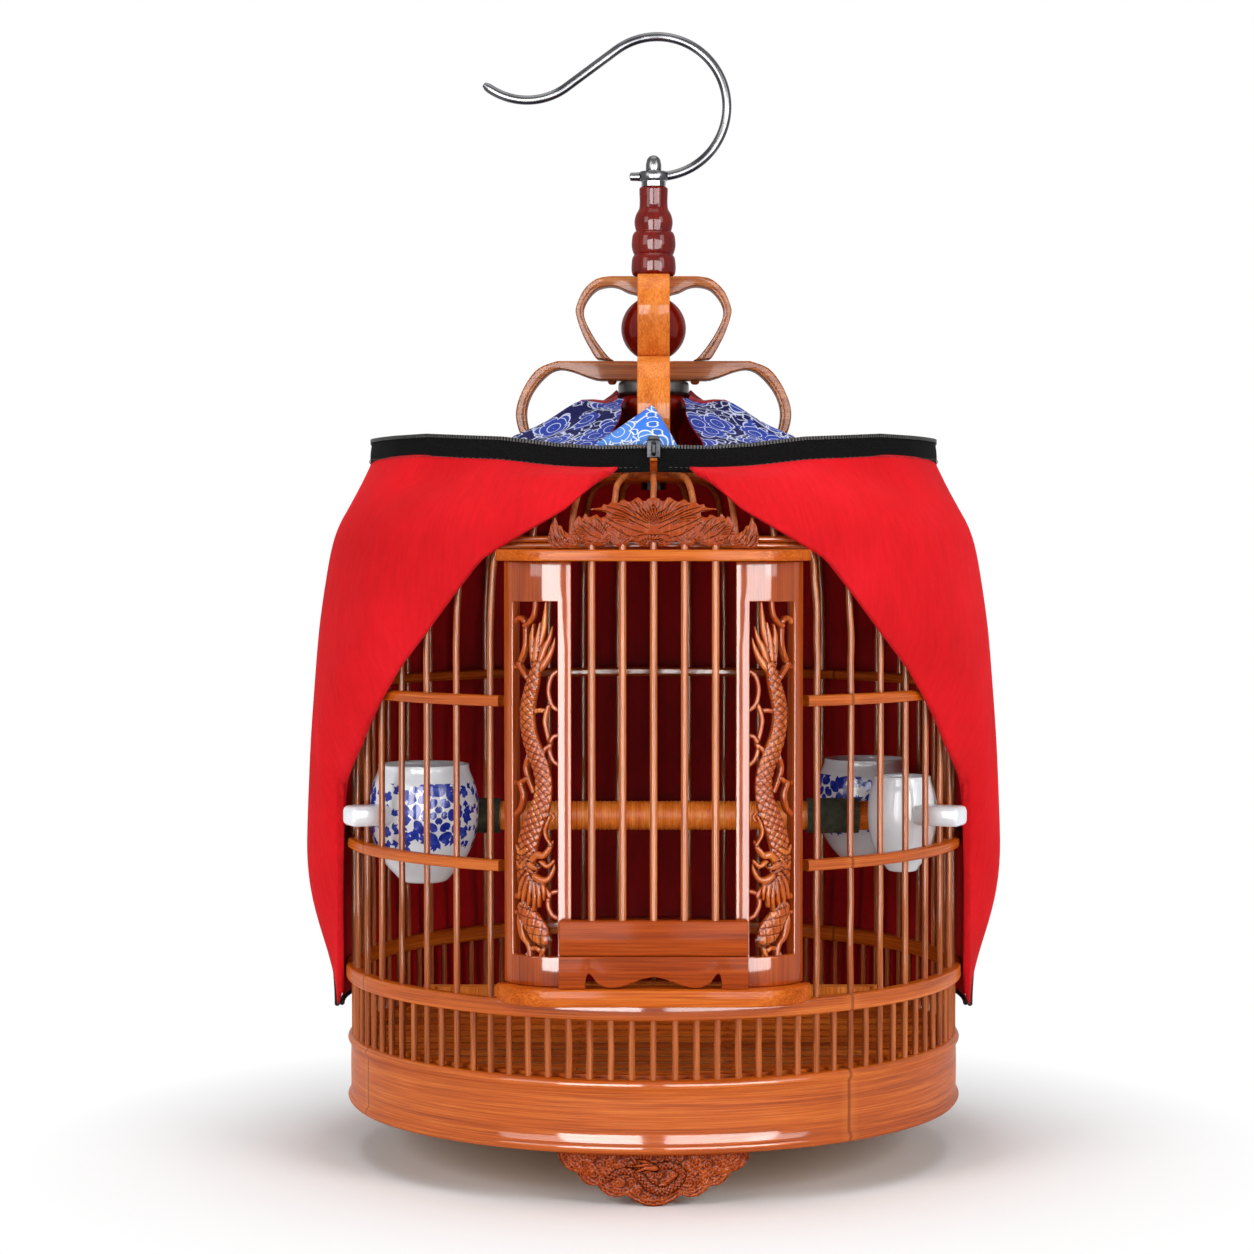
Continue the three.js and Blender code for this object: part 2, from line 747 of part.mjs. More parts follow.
// Door
function doorBarPlaces() {
  return Array.from({ length: doorBars }, (_, i) => (i - (doorBars - 1) / 2) * doorBarPitch);
}

// The crest's left half, from its lower middle round to its top middle: shares of half its width
// and of its height
const crestShares = [
  [0.09, 0.12], [0.18, 0], [0.38, 0.02], [0.44, 0.1], [0.52, 0], [0.7, 0.02], [0.8, 0.1], [0.88, 0.02],
  [0.96, 0.05], [0.98, 0.6], [0.9, 0.3], [0.86, 0.45], [0.78, 0.7], [0.63, 0.66], [0.6, 0.8], [0.68, 0.84],
  [0.52, 0.92], [0.3, 1],
];

function buildDoor() {
  const half = crestWidth / 2;
  const right = crestShares.map(([across, up]) => [half * across, crestBottom + crestHeight * up]);
  const left = right.toReversed().map(([x, z]) => [-x, z]);
  const face = doorPlane - crestThickness / 2;
  add("door_crest", plate(outline([...right, ...left]), face, face + crestThickness), carved);
  const board = box(doorBoardWidth, doorBoardThickness, doorBoardHeight, 0, doorPlane, doorBoardBottom);
  const from = doorBoardTop - doorBoardHeight / 2;
  const bars = doorBarPlaces().map((x) => solid(
    upright(doorBarRadius, from, crestBottom - slack, 8, x, doorPlane),
  ));
  add("door_grille", joined([solid(board), ...bars]), bamboo);
}

// Crown
const neckBottom = topBoardTop + slack;
const collarBottom = neckBottom + neckBeadHeight + slack;
const lowerTierBottom = topBoardTop + slack;
const lowerTierTop = collarBottom + collarHeight + slack + lowerShoulder;
const ballBottom = lowerTierTop + slack;
const upperTierTop = lowerTierTop + slack + upperTierHeight;
const ballTop = upperTierTop - upperShoulder - slack;
const handleBottom = upperTierTop + slack;
const washerBottom = handleBottom + handleHeight + slack;
const eyeBottom = washerBottom + washerHeight + slack;
const nutBottom = eyeBottom + eyeThickness + slack;

// Half of a tier's outer line and inner line, as shares of its reach and of its height
const lowerOuterShares = [
  [0.70, 1], [0.84, 0.925], [0.94, 0.75], [1, 0.53], [0.985, 0.34], [0.93, 0.2], [0.88, 0.1], [0.9, 0],
];
const lowerInnerShares = [
  [0.8, 0], [0.81, 0.1], [0.87, 0.22], [0.915, 0.36], [0.925, 0.53], [0.88, 0.7], [0.78, 0.86],
  [0.69, 0.92], [0.59, 0.9], [0.48, 0.845], [0.4, 0.813],
];
const upperOuterShares = [
  [0.55, 1], [0.73, 0.965], [0.89, 0.83], [0.98, 0.64], [0.98, 0.53], [0.9, 0.31], [0.76, 0.07], [0.71, 0.02],
];
const upperInnerShares = [
  [0.5, 0], [0.58, 0.05], [0.76, 0.28], [0.885, 0.53], [0.86, 0.69], [0.73, 0.84], [0.57, 0.885],
  [0.44, 0.87], [0.32, 0.815], [0.2, 0.79],
];

// Two bent strips cross on the axis: the one along X is notched below, the other above
function buildTier(name, reach, top, height, shoulder, outerShares, innerShares) {
  const bottom = top - height;
  const place = ([across, up]) => [reach * across, bottom + height * up];
  const outer = outerShares.map(place);
  const inner = innerShares.map(place);
  const under = [reach * innerShares.at(-1)[0] - stripThickness, top - shoulder];
  const right = [...outer, ...inner, under];
  const left = right.toReversed().map(([x, z]) => [-x, z]);
  const strip = solid(plate(outline([...right, ...left]), -stripWidth / 2, stripWidth / 2));
  const hole = solid(upright(rodHole, bottom - overrun, top + overrun, 12));
  const notch = stripWidth + 2 * slack;
  const halfway = top - shoulder / 2;
  const above = solid(box(notch, notch, shoulder, 0, 0, halfway - slack / 2));
  const below = solid(box(notch, notch, shoulder, 0, 0, halfway + slack / 2 - shoulder));
  add(`${name}_strip_across`, cut(strip, [below, hole]), bamboo);
  const crossing = cut(strip, [above, hole]);
  add(`${name}_strip_front_to_back`, geometryOf(crossing).rotateZ(Math.PI / 2), bamboo);
}

// Turned pieces: shares of the largest radius and of the height
const handleShares = [
  [0.72, 0], [0.97, 0.06], [1, 0.15], [0.96, 0.27], [0.74, 0.315], [0.95, 0.35], [0.985, 0.42], [0.93, 0.52],
  [0.7, 0.555], [0.8, 0.6], [0.835, 0.67], [0.78, 0.74], [0.62, 0.78], [0.65, 0.97], [0.6, 1],
];
const neckShares = [[0.95, 0], [1, 0.1], [0.8, 0.24], [0.72, 0.45], [0.9, 0.7], [0.98, 0.85], [0.8, 1]];
const collarShares = [[0.94, 0], [1, 0.2], [1, 0.8], [0.94, 1]];
const nutShares = [[1, 0], [1, 0.45], [0.8, 0.8], [0, 1]];

function bored(shares, radius, bottom, height, segments) {
  const profile = shares.map(([out, up]) => [radius * out, bottom + height * up]);
  return turned([[rodHole, bottom], ...profile, [rodHole, bottom + height]], segments);
}

function buildCrown() {
  add("neck_bead", bored(neckShares, neckBeadRadius, neckBottom, neckBeadHeight, 16), lacquer);
  add("crown_collar", bored(collarShares, collarRadius, collarBottom, collarHeight, 16), blackWood);
  buildTier("lower", lowerTierReach, lowerTierTop, lowerTierTop - lowerTierBottom, lowerShoulder,
    lowerOuterShares, lowerInnerShares);
  buildTier("upper", upperTierReach, upperTierTop, upperTierHeight, upperShoulder,
    upperOuterShares, upperInnerShares);
  const ballRadius = (ballTop - ballBottom) / 2;
  const ballSteps = 9;
  const ballShares = steps(1, ballSteps - 1, 1).map((i) => {
    const turn = (Math.PI * i) / ballSteps;
    return [Math.sin(turn), (1 - Math.cos(turn)) / 2];
  });
  add("crown_ball", bored(ballShares, ballRadius, ballBottom, ballTop - ballBottom, 16), lacquer);
  add("handle", bored(handleShares, handleRadius, handleBottom, handleHeight, 14), lacquer);
  const washerShares = [[1, 0], [1, 1]];
  add("hook_washer", bored(washerShares, washerRadius, washerBottom, washerHeight, 12), steel);
  const rodTop = nutBottom + nutHeight / 2;
  add("tie_rod", turnedOnAxis([
    [0, topBoardBottom - slack - rodHeadHeight],
    [rodHeadRadius, topBoardBottom - slack - rodHeadHeight],
    [rodHeadRadius, topBoardBottom - slack],
    [rodRadius, topBoardBottom - slack],
    [rodRadius, rodTop],
    [0, rodTop],
  ], 12), steel);
  add("hook_nut", turnedOnAxis([
    [0, rodTop + slack],
    [rodHole, rodTop + slack],
    [rodHole, nutBottom],
    ...nutShares.map(([out, up]) => [nutRadius * out, nutBottom + nutHeight * up]),
  ], 10), steel);
}

// The hook's centre line: a large loop, a straight run along the crossing tangent and a turned-up tip
function hookCurve() {
  const level = eyeBottom + eyeThickness / 2;
  const loop = new THREE.Vector2(hookShift, level + hookRise);
  const tip = new THREE.Vector2(hookShift - tipOffset, level + hookRise + tipRise);
  const toTip = Math.atan2(tipRise, -tipOffset);
  const lean = Math.acos((hookRadius + tipRadius) / Math.hypot(tipOffset, tipRise));
  const leave = toTip - lean;
  const end = -0.72 * Math.PI;
  const points = [];
  const point = (centre, radius, angle) => points.push(new THREE.Vector3(
    centre.x + radius * Math.cos(angle), 0, centre.y + radius * Math.sin(angle),
  ));
  const start = -Math.PI / 2 + 0.08;
  const loopSteps = 12;
  for (let i = 0; i <= loopSteps; i += 1) {
    point(loop, hookRadius, start + ((leave - start) * i) / loopSteps);
  }
  const arrive = leave - Math.PI;
  const tipSteps = 6;
  for (let i = 0; i <= tipSteps; i += 1) {
    point(tip, tipRadius, arrive + ((end - arrive) * i) / tipSteps);
  }
  return new THREE.CatmullRomCurve3(points);
}

function buildHook() {
  const section = new THREE.Shape().absarc(0, 0, wireDiameter / 2, 0, 2 * Math.PI, false);
  const curve = hookCurve();
  const wire = new THREE.ExtrudeGeometry(section, { steps: 28, curveSegments: 4, extrudePath: curve });
  const eye = solid(turned([
    [rodHole, eyeBottom],
    [eyeRadius, eyeBottom],
    [eyeRadius, eyeBottom + eyeThickness],
    [rodHole, eyeBottom + eyeThickness],
  ], 16));
  const stub = eyeRadius - rodHole;
  const stubPlace = -stubLength + stub / 2;
  const tail = solid(box(stub, stub, eyeThickness, stubPlace, 0, eyeBottom));
  const hole = solid(upright(rodHole, eyeBottom - overrun, eyeBottom + hookRise, 12));
  const body = cut(joined([solid(wire), tail]), [hole]).add(eye);
  add("hook", body, steel);
}

// Perch and cups
function buildPerch() {
  const level = middleRingTop + slack + perchDiameter / 2;
  const reach = Math.sqrt(coreInner * coreInner - perchDiameter * perchDiameter / 4) + coreDepth / 2;
  const radius = perchDiameter / 2;
  const rod = new THREE.CylinderGeometry(radius, radius, 2 * reach, 12).rotateZ(Math.PI / 2);
  add("perch", rod.translate(0, 0, level), perchWood);
  const bore = radius + slack;
  const sleeve = sleeveDiameter / 2;
  for (const [name, side] of [["perch_sleeve_left", -1], ["perch_sleeve_right", 1]]) {
    const start = side * sleeveStart;
    const end = side * (sleeveStart + sleeveLength);
    const tube = turned([[bore, start], [sleeve, start], [sleeve, end], [bore, end]], 12);
    add(name, tube.rotateY(Math.PI / 2).translate(0, 0, level), gritSleeve);
  }
}

// A cup's outer line from its foot to its lip: shares of its radius and of its height
const cupShares = [[0.42, 0], [0.5, 0.04], [0.8, 0.22], [0.98, 0.48], [1, 0.68], [0.9, 0.9], [0.82, 1]];

function buildCups() {
  const lugWidth = 2 * barCircle * Math.sin((barAngle / 2) * degrees) - barDiameter - 2 * slack;
  for (const cup of cupSizes) {
    const outer = cupShares.map(([out, up]) => [cup.radius * out, cup.base + cup.height * up]);
    const inner = outer.slice(2).map(([radius, level]) => [radius - cupWall, level]);
    const floor = cup.base + cupWall * 2;
    const profile = [[0, cup.base], ...outer, ...inner.toReversed(), [cup.radius / 3, floor], [0, floor]];
    const [x, y] = around(cup.distance, cup.side * cup.angle);
    const bowl = solid(turnedOnAxis(profile, 14).translate(x, y, 0));
    const offset = (cup.angle - cup.lugAngle) * degrees;
    const along = cup.distance * Math.cos(offset);
    const aside = cup.distance * Math.sin(offset);
    const wallPlace = along + Math.sqrt(cup.radius * cup.radius - aside * aside) - cupWall;
    const length = cup.lugReach - wallPlace;
    const lug = box(lugWidth, length, lugHeight, 0, -(wallPlace + length / 2), cup.base + cup.height / 2);
    lug.rotateZ(cup.side * cup.lugAngle * degrees);
    add(cup.name, bowl.add(solid(lug)), porcelain);
  }
}

// Cover: the cloth's line down the cage from the neck to the hem, as [radius, level]
const clothInner = ringOuter + clothGap;
const hoopFace = shoulderRadius + barRadius + slack + shoulderHoopWall;
const hoopLevel = railTop + slack + shoulderHoopHeight / 2;

function coverLine() {
  const [kneeRadius, kneeLevel] = domePoint(...domeShares[1]);
  const [flatRadius, flatLevel] = domePoint(...domeShares[2]);
  const lift = barRadius + clothGap;
  return [
    [neckBeadRadius + 3 * clothGap + clothThickness, collarBottom - clothThickness * 2],
    [topBoardRadius * 0.62, topBoardTop + (collarBottom - topBoardTop) * 0.45],
    [topBoardRadius, topBoardTop + clothThickness],
    [(topBoardRadius + flatRadius) / 2, ribTopLevel + lift],
    [flatRadius, flatLevel + lift],
    [kneeRadius + lift, kneeLevel + lift],
    [hoopFace + clothGap, hoopLevel + shoulderHoopHeight],
    [hoopFace + clothGap * 2, hoopLevel - shoulderHoopHeight],
    [clothInner, shoulderLevel - bendDrop],
    [clothInner, coverHem],
  ];
}

// A facet's corners lie outside the round line by its half angle, plus the slant between rows
const bodyColumns = 22;
const rowSlant = 4.5;
const flapColumns = 12;

// How far from the door each row of the cover line starts, in degrees
const openingAngles = [6, 9, 13, 11, 14, 18, 22, 33, 38, 84];
// The same edge lower down the wall, as [share of the height from hem to bend, degrees]
const wallFoldShares = [
  [0, 84], [0.15, 79], [0.3, 75], [0.48, 72], [0.6, 70], [0.75, 53], [0.9, 43.3], [1, 38],
];

function wallFold(level) {
  const top = shoulderLevel - bendDrop;
  return between(wallFoldShares, (level - coverHem) / (top - coverHem));
}

// The cloth hangs off the bars at the back, as far as the portal stands out at the front
function backBulge(radius, angle, level) {
  const top = shoulderLevel - bendDrop;
  const rise = Math.min(Math.max((level - coverHem) / (top - coverHem), 0), 1);
  const behind = Math.max(-Math.cos(angle * degrees), 0);
  return (portalReach - clothThickness - radius) * behind * behind * easing(Math.min(rise, 1 - rise) * 2.5);
}

function bodySheet(thickness) {
  const line = coverLine();
  const last = line.length - 1;
  const upperRows = last - 1;
  const wallRows = 5;
  const rows = upperRows + wallRows;
  return solid(sheet(bodyColumns, rows, (u, v) => {
    const row = v * rows;
    let radius = clothInner;
    let level = shoulderLevel - bendDrop;
    let edge = 0;
    if (row <= upperRows) {
      const i = Math.min(Math.round(row), upperRows);
      [radius, level] = line[i];
      edge = openingAngles[i];
    } else {
      const [, top] = line[upperRows];
      level = top + ((coverHem - top) * (row - upperRows)) / wallRows;
      edge = wallFold(level);
    }
    const angle = edge + (360 - 2 * edge) * u;
    const clear = radius / Math.cos(((180 - edge) / bodyColumns + rowSlant) * degrees);
    const [x, y] = around(clear + backBulge(clear, angle, level), angle);
    return [x, y, level];
  }, thickness));
}

function buildCoverBody() {
  const slotWidth = stripWidth + 4 * clothGap;
  const slotDepth = lowerTierReach - slotInner;
  const slotHeight = lowerTierTop - topBoardBottom;
  const slots = [90, 180, 270].map((angle) => solid(
    box(slotWidth, slotDepth, slotHeight, 0, -(slotInner + slotDepth / 2), topBoardBottom)
      .rotateZ(angle * degrees),
  ));
  add("cover_body", cut(bodySheet(clothThickness), slots), lining);
}

// The zip's half on the folded flap: radius and level of its middle, by degrees from the door
const zipRadiusShares = [[0, 0], [10, 0.03], [25, 0.22], [45, 0.62], [65, 0.9], [90, 1], [140, 1]];
const zipLevelShares = [
  [0, 0.55], [14, 0.15], [24, 0.3], [36, 0.75], [55, 1], [88, 0.85], [120, -0.2], [140, -1.4],
];
const zipStart = Math.asin((sliderWidth / 2 + slack) / zipFront) / degrees;
const zipEnd = 130;
const flapStart = 10;
const flapStep = (zipEnd - flapStart) / flapColumns;

function zipPoint(angle) {
  const radius = zipFront + (zipSide - zipFront) * between(zipRadiusShares, angle);
  const base = ribTopLevel + barRadius + slack + zipWidth / 2;
  return [radius, base + zipRise * (between(zipLevelShares, angle) - 0.1)];
}

// How far the flap stands off the cage at its side: shares of its bulge, by level share from hem to zip
const bulgeShares = [
  [0, 0.05], [0.06, 0.35], [0.17, 0.9], [0.26, 1], [0.52, 0.62], [0.8, 0.42], [0.9, 0.4], [1, 0],
];

// The cover line moved out along its own normal, clear of the body's facets
function outsideLine() {
  const line = coverLine();
  const gap = clothThickness + 4 * clothGap;
  const facet = Math.cos((180 / bodyColumns + rowSlant) * degrees) * Math.cos((flapStep / 2) * degrees);
  return line.map(([radius, level], i) => {
    const [r0, z0] = line[Math.max(i - 1, 0)];
    const [r1, z1] = line[Math.min(i + 1, line.length - 1)];
    const run = Math.hypot(r1 - r0, z1 - z0);
    return [(radius + (gap * (z0 - z1)) / run) / facet, level + (2 * gap * (r1 - r0)) / run];
  });
}

function flapLow(angle) {
  const bend = shoulderLevel - bendDrop;
  const wall = wallFoldShares.map(([share, fold]) => [fold, coverHem + (bend - coverHem) * share]);
  const upper = openingAngles.slice(3, 8).map((fold, i) => [fold, coverLine()[i + 3][1]]);
  const edge = [...wall, ...upper].toSorted((a, b) => a[0] - b[0]);
  return Math.max(between(edge, angle), flapHem);
}

// The flap's line down the cage at one angle, from under the zip tape to the fold or the hem
function flapLine(angle) {
  const [zipRadius, zipLevel] = zipPoint(angle);
  const top = zipLevel - zipWidth / 2 - 2 * slack - clothThickness;
  const low = flapLow(angle);
  const line = outsideLine();
  const byLevel = line.toReversed().map(([radius, level]) => [level, radius]);
  const below = line.filter(([radius, level]) => radius > zipRadius && level < top - slack && level > low);
  const points = [[zipRadius, top], ...below, [Math.max(between(byLevel, low), zipRadius), low]];
  return points.map(([radius, level]) => {
    const rise = (level - flapHem) / (top - flapHem);
    const side = easing((angle - wallFold(level) + flapStep) / (4 * flapStep));
    const bulge = flapReach - clothThickness - between(byLevel, flapHem);
    return [radius + bulge * between(bulgeShares, rise) * side, level];
  });
}

function alongLine(line, share) {
  const lengths = line.slice(1).map(([r, z], i) => Math.hypot(r - line[i][0], z - line[i][1]));
  let left = share * lengths.reduce((sum, length) => sum + length, 0);
  for (let i = 0; i < lengths.length; i += 1) {
    if (left <= lengths[i] || i === lengths.length - 1) {
      const part = Math.min(left / lengths[i], 1);
      return [0, 1].map((k) => line[i][k] + (line[i + 1][k] - line[i][k]) * part);
    }
    left -= lengths[i];
  }
  return line.at(-1);
}

function buildFlaps() {
  const rows = 6;
  const clearance = bodySheet(clothThickness + slack).add(bodySheet(clothThickness));
  for (const [name, side] of [["left", -1], ["right", 1]]) {
    const flap = sheet(flapColumns, rows, (u, v) => {
      const angle = flapStart + (zipEnd - flapStart) * u;
      const [radius, level] = alongLine(flapLine(angle), v);
      const [x, y] = around(radius, angle * side);
      return [x, y, level];
    }, side * clothThickness);
    add(`cover_flap_${name}`, largest(solid(flap).subtract(clearance)), lining);
    const tape = sheet(16, 1, (u, v) => {
      const angle = zipStart + (zipEnd - zipStart) * u;
      const [radius, level] = zipPoint(angle);
      const [x, y] = around(radius, angle * side);
      return [x, y, level + zipWidth * (v - 0.5)];
    }, side * -zipThickness);
    add(`zip_tape_${name}`, solid(tape), zipCloth);
  }
  const [radius, level] = zipPoint(0);
  const place = -(radius + zipThickness / 2);
  const bottom = level - sliderHeight / 2;
  add("zip_slider", box(sliderWidth, sliderDepth, sliderHeight, 0, place, bottom), steel);
  add("zip_pull", box(pullWidth, pullLength, pullThickness, 0,
    place + pullLength / 2 - pullThickness / 4, bottom + sliderHeight + slack), zipCloth);
}

buildRim();
buildFeet();
buildFloor();
buildRings();
buildLowerBars();
buildWallBars();
buildDome();
buildPortalPlanks();
buildPanels();
buildThreshold();
buildFloorBeam();
buildDoor();
buildCrown();
buildHook();
buildPerch();
buildCups();
buildCoverBody();
buildFlaps();

export default cage;
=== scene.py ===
"""Looks of the bamboo bird cage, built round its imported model.

Lengths are in millimetres and angles in degrees, in the model's own frame: +Z up, and the door faces -Y.
An angle round the cage is counted from the door towards +X.
"""

import itertools
import math
import random

import bmesh
import bpy
import numpy
from mathutils import Matrix, Vector


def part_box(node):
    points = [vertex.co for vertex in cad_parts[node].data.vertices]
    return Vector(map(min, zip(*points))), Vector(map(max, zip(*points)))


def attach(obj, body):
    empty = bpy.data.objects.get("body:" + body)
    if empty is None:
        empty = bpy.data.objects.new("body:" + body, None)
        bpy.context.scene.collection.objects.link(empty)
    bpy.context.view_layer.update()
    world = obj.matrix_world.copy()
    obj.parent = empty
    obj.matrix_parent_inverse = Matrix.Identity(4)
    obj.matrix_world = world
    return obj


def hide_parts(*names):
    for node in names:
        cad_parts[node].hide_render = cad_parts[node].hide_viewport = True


MM = 0.001
CAD_GAP = 0.3
BORE_RADIUS = 2.9
SEED = 7

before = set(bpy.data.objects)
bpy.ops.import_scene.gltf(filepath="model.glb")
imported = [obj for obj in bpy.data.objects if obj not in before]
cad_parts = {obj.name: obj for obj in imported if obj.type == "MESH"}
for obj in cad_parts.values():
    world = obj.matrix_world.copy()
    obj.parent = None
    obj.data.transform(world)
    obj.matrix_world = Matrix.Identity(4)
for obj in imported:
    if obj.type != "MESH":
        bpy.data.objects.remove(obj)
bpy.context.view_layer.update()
chance = random.Random(SEED)


# Sizes read from the frame
def extent(node):
    low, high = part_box(node)
    return Vector(low) / MM, Vector(high) / MM


rim_low, rim_high = extent("base_rim")
foot_high = extent("foot_front")[1]
ring_low, ring_high = extent("ring_lower")
middle_low, middle_high = extent("ring_middle")
upper_low, upper_high = extent("ring_upper")
hoop_low, hoop_high = extent("shoulder_hoop")
top_low, top_high = extent("top_board")
sill_low, sill_high = extent("portal_sill")
rail_low, rail_high = extent("portal_top_rail")
panel_low, panel_high = extent("portal_panel_right")
threshold_low, threshold_high = extent("door_threshold")
grille_low, grille_high = extent("door_grille")
crest_low, crest_high = extent("door_crest")
perch_low, perch_high = extent("perch")
ball_low, ball_high = extent("crown_ball")
eye_level = (extent("hook_washer")[1].z + extent("hook_nut")[0].z) / 2

RIM_RADIUS = rim_high.x
RING_OUTER = ring_high.x
BAR_CIRCLE = 161.5
RING_INSIDE = BAR_CIRCLE - 2.7
BAR_RADIUS = 1.6
MAIN_BARS = 48
BAR_ANGLE = 360 / MAIN_BARS
PORTAL_BARS = 4
PORTAL_HALF_ANGLE = 27.5
HOOP_DEPTH = 4.0
SHOULDER_LEVEL = hoop_low.z
SHOULDER_RADIUS = -hoop_low.y - HOOP_DEPTH
BEND_DROP = 46
RIB_INTO_BOARD = 3.2
RIB_TOP_LEVEL = top_low.z + RIB_INTO_BOARD


# Small geometry helpers
def around(radius, angle):
    turn = math.radians(angle)
    return radius * math.sin(turn), -radius * math.cos(turn)


def lerp(a, b, share):
    return a + (b - a) * share


def easing(share):
    t = min(max(share, 0), 1)
    return t * t * (3 - 2 * t)


def between(table, key):
    """The value at a key, read from rows of (key, value) along straight lines."""
    if key <= table[0][0]:
        return table[0][1]
    for (k0, v0), (k1, v1) in zip(table, table[1:]):
        if key <= k1:
            return lerp(v0, v1, (key - k0) / (k1 - k0))
    return table[-1][1]


def curved(a, b, c, d, t):
    """A share of the way from b to c, on a curve that also bends towards a and d."""
    bend = (2 * a - 5 * b + 4 * c - d) * t * t
    return 0.5 * (2 * b + (c - a) * t + bend + (3 * b - a - 3 * c + d) * t ** 3)


def smooth(rows, steps=6, closed=False):
    """Rows of numbers, with rounded rows added between them."""
    count = len(rows)
    made = []
    for i in range(count if closed else count - 1):
        if closed:
            four = [rows[(i + k - 1) % count] for k in range(4)]
        else:
            four = [rows[min(max(i + k - 1, 0), count - 1)] for k in range(4)]
        for step in range(steps):
            made.append(tuple(curved(*values, step / steps) for values in zip(*four)))
    if not closed:
        made.append(tuple(rows[-1]))
    return made


class Shape:
    """The points and faces of one piece."""

    def __init__(self):
        self.points = []
        self.faces = []
        self.shades = {}

    def add(self, part, shade=None):
        points, faces = part
        start = len(self.points)
        self.points.extend(points)
        self.faces.extend([start + i for i in face] for face in faces)
        if shade is not None:
            tones = shade if isinstance(shade, list) else [shade] * len(points)
            self.shades.update({start + i: tone for i, tone in enumerate(tones)})
        return self


def lathe(profile, segments=128, x=0.0, y=0.0, closed=False):
    """A profile of (radius, level) turned about an upright axis."""
    points, faces, rings = [], [], []
    for radius, level in profile:
        if radius < 1e-6:
            rings.append([len(points)])
            points.append((x, y, level))
        else:
            rings.append(list(range(len(points), len(points) + segments)))
            for i in range(segments):
                dx, dy = around(radius, 360 * i / segments)
                points.append((x + dx, y + dy, level))
    pairs = list(zip(rings, rings[1:]))
    if closed:
        pairs.append((rings[-1], rings[0]))
    for low, high in pairs:
        for i in range(segments):
            j = (i + 1) % segments
            if len(low) > 1 and len(high) > 1:
                faces.append([low[i], low[j], high[j], high[i]])
            elif len(high) > 1:
                faces.append([low[0], high[j], high[i]])
            elif len(low) > 1:
                faces.append([low[i], low[j], high[0]])
    return points, faces


def spread(first, last, count):
    return [lerp(first, last, i / (count - 1)) for i in range(count)]


def along(line, share):
    """The point at a share of a line's length."""
    lengths = [math.dist(a, b) for a, b in zip(line, line[1:])]
    left = share * sum(lengths)
    for i, length in enumerate(lengths):
        if left <= length or i == len(lengths) - 1:
            part = min(left / length, 1)
            return tuple(lerp(a, b, part) for a, b in zip(line[i], line[i + 1]))
        left -= length
    return line[-1]


def even(line, count):
    """A line of points, with that many steps of one length."""
    return [along(line, k / count) for k in range(count + 1)]


def arc(x, z, radius, first, last, steps):
    """Points round a middle from the first angle to the last."""
    turns = [math.radians(angle) for angle in spread(first, last, steps + 1)]
    return [(x + radius * math.cos(turn), z + radius * math.sin(turn)) for turn in turns]


def both_halves(right):
    """A line of (x, z) that starts at the middle, with its mirrored half before it."""
    return [(-x, z) for x, z in right[:0:-1]] + right


def wrapped_faces(rows, count):
    """The faces of a closed section of count points, carried through rows, with its two ends."""
    faces = []
    for i in range(rows - 1):
        for k in range(count):
            n = (k + 1) % count
            faces.append([i * count + k, i * count + n, (i + 1) * count + n, (i + 1) * count + k])
    faces.append(list(range(count))[::-1])
    faces.append([(rows - 1) * count + k for k in range(count)])
    return faces


def sweep_round(section, angles):
    """A closed section of (radius, level) carried round the cage from the first angle to the last."""
    points = [(*around(radius, angle), level) for angle in angles for radius, level in section]
    return points, wrapped_faces(len(angles), len(section))


def tube(path, radius, sides=10, facing=None, flat=1.0):
    """A rod along a path. facing gives the direction of its thickness at a point, and flat is its
    thickness as a share of its width."""
    path = [Vector(p) for p in path]
    radii = radius if isinstance(radius, (list, tuple)) else [radius] * len(path)
    points = []
    out = None
    for i, place in enumerate(path):
        tangent = (path[min(i + 1, len(path) - 1)] - path[max(i - 1, 0)]).normalized()
        if facing is not None:
            out = Vector(facing(place))
        elif out is None:
            out = Vector((1, 0, 0)) if abs(tangent.x) < 0.9 else Vector((0, 1, 0))
        out = (out - tangent * out.dot(tangent)).normalized()
        side = tangent.cross(out)
        for k in range(sides):
            turn = 2 * math.pi * k / sides
            across, deep = radii[i] * math.cos(turn), radii[i] * flat * math.sin(turn)
            points.append(place + side * across + out * deep)
    return points, wrapped_faces(len(path), sides)


def prism(outline, place, depth):
    """A closed outline of (x, z) made solid. place gives the point at x, z and a depth, from 0 to depth."""
    count = len(outline)
    points = [place(x, z, level) for level in (0, depth) for x, z in outline]
    faces = [list(range(count)), [count + i for i in range(count)][::-1]]
    for i in range(count):
        j = (i + 1) % count
        faces.append([j, i, count + i, count + j])
    return points, faces


def grid_faces(columns, rows, start=0):
    faces = []
    for row in range(rows):
        for column in range(columns):
            a = start + row * (columns + 1) + column
            faces.append([a, a + 1, a + columns + 2, a + columns + 1])
    return faces


def block(low, high):
    """A box between two corners."""
    points = [(x, y, z) for x in (low[0], high[0]) for y in (low[1], high[1]) for z in (low[2], high[2])]
    faces = [[0, 1, 3, 2], [4, 6, 7, 5], [0, 4, 5, 1], [2, 3, 7, 6], [0, 2, 6, 4], [1, 5, 7, 3]]
    return points, faces


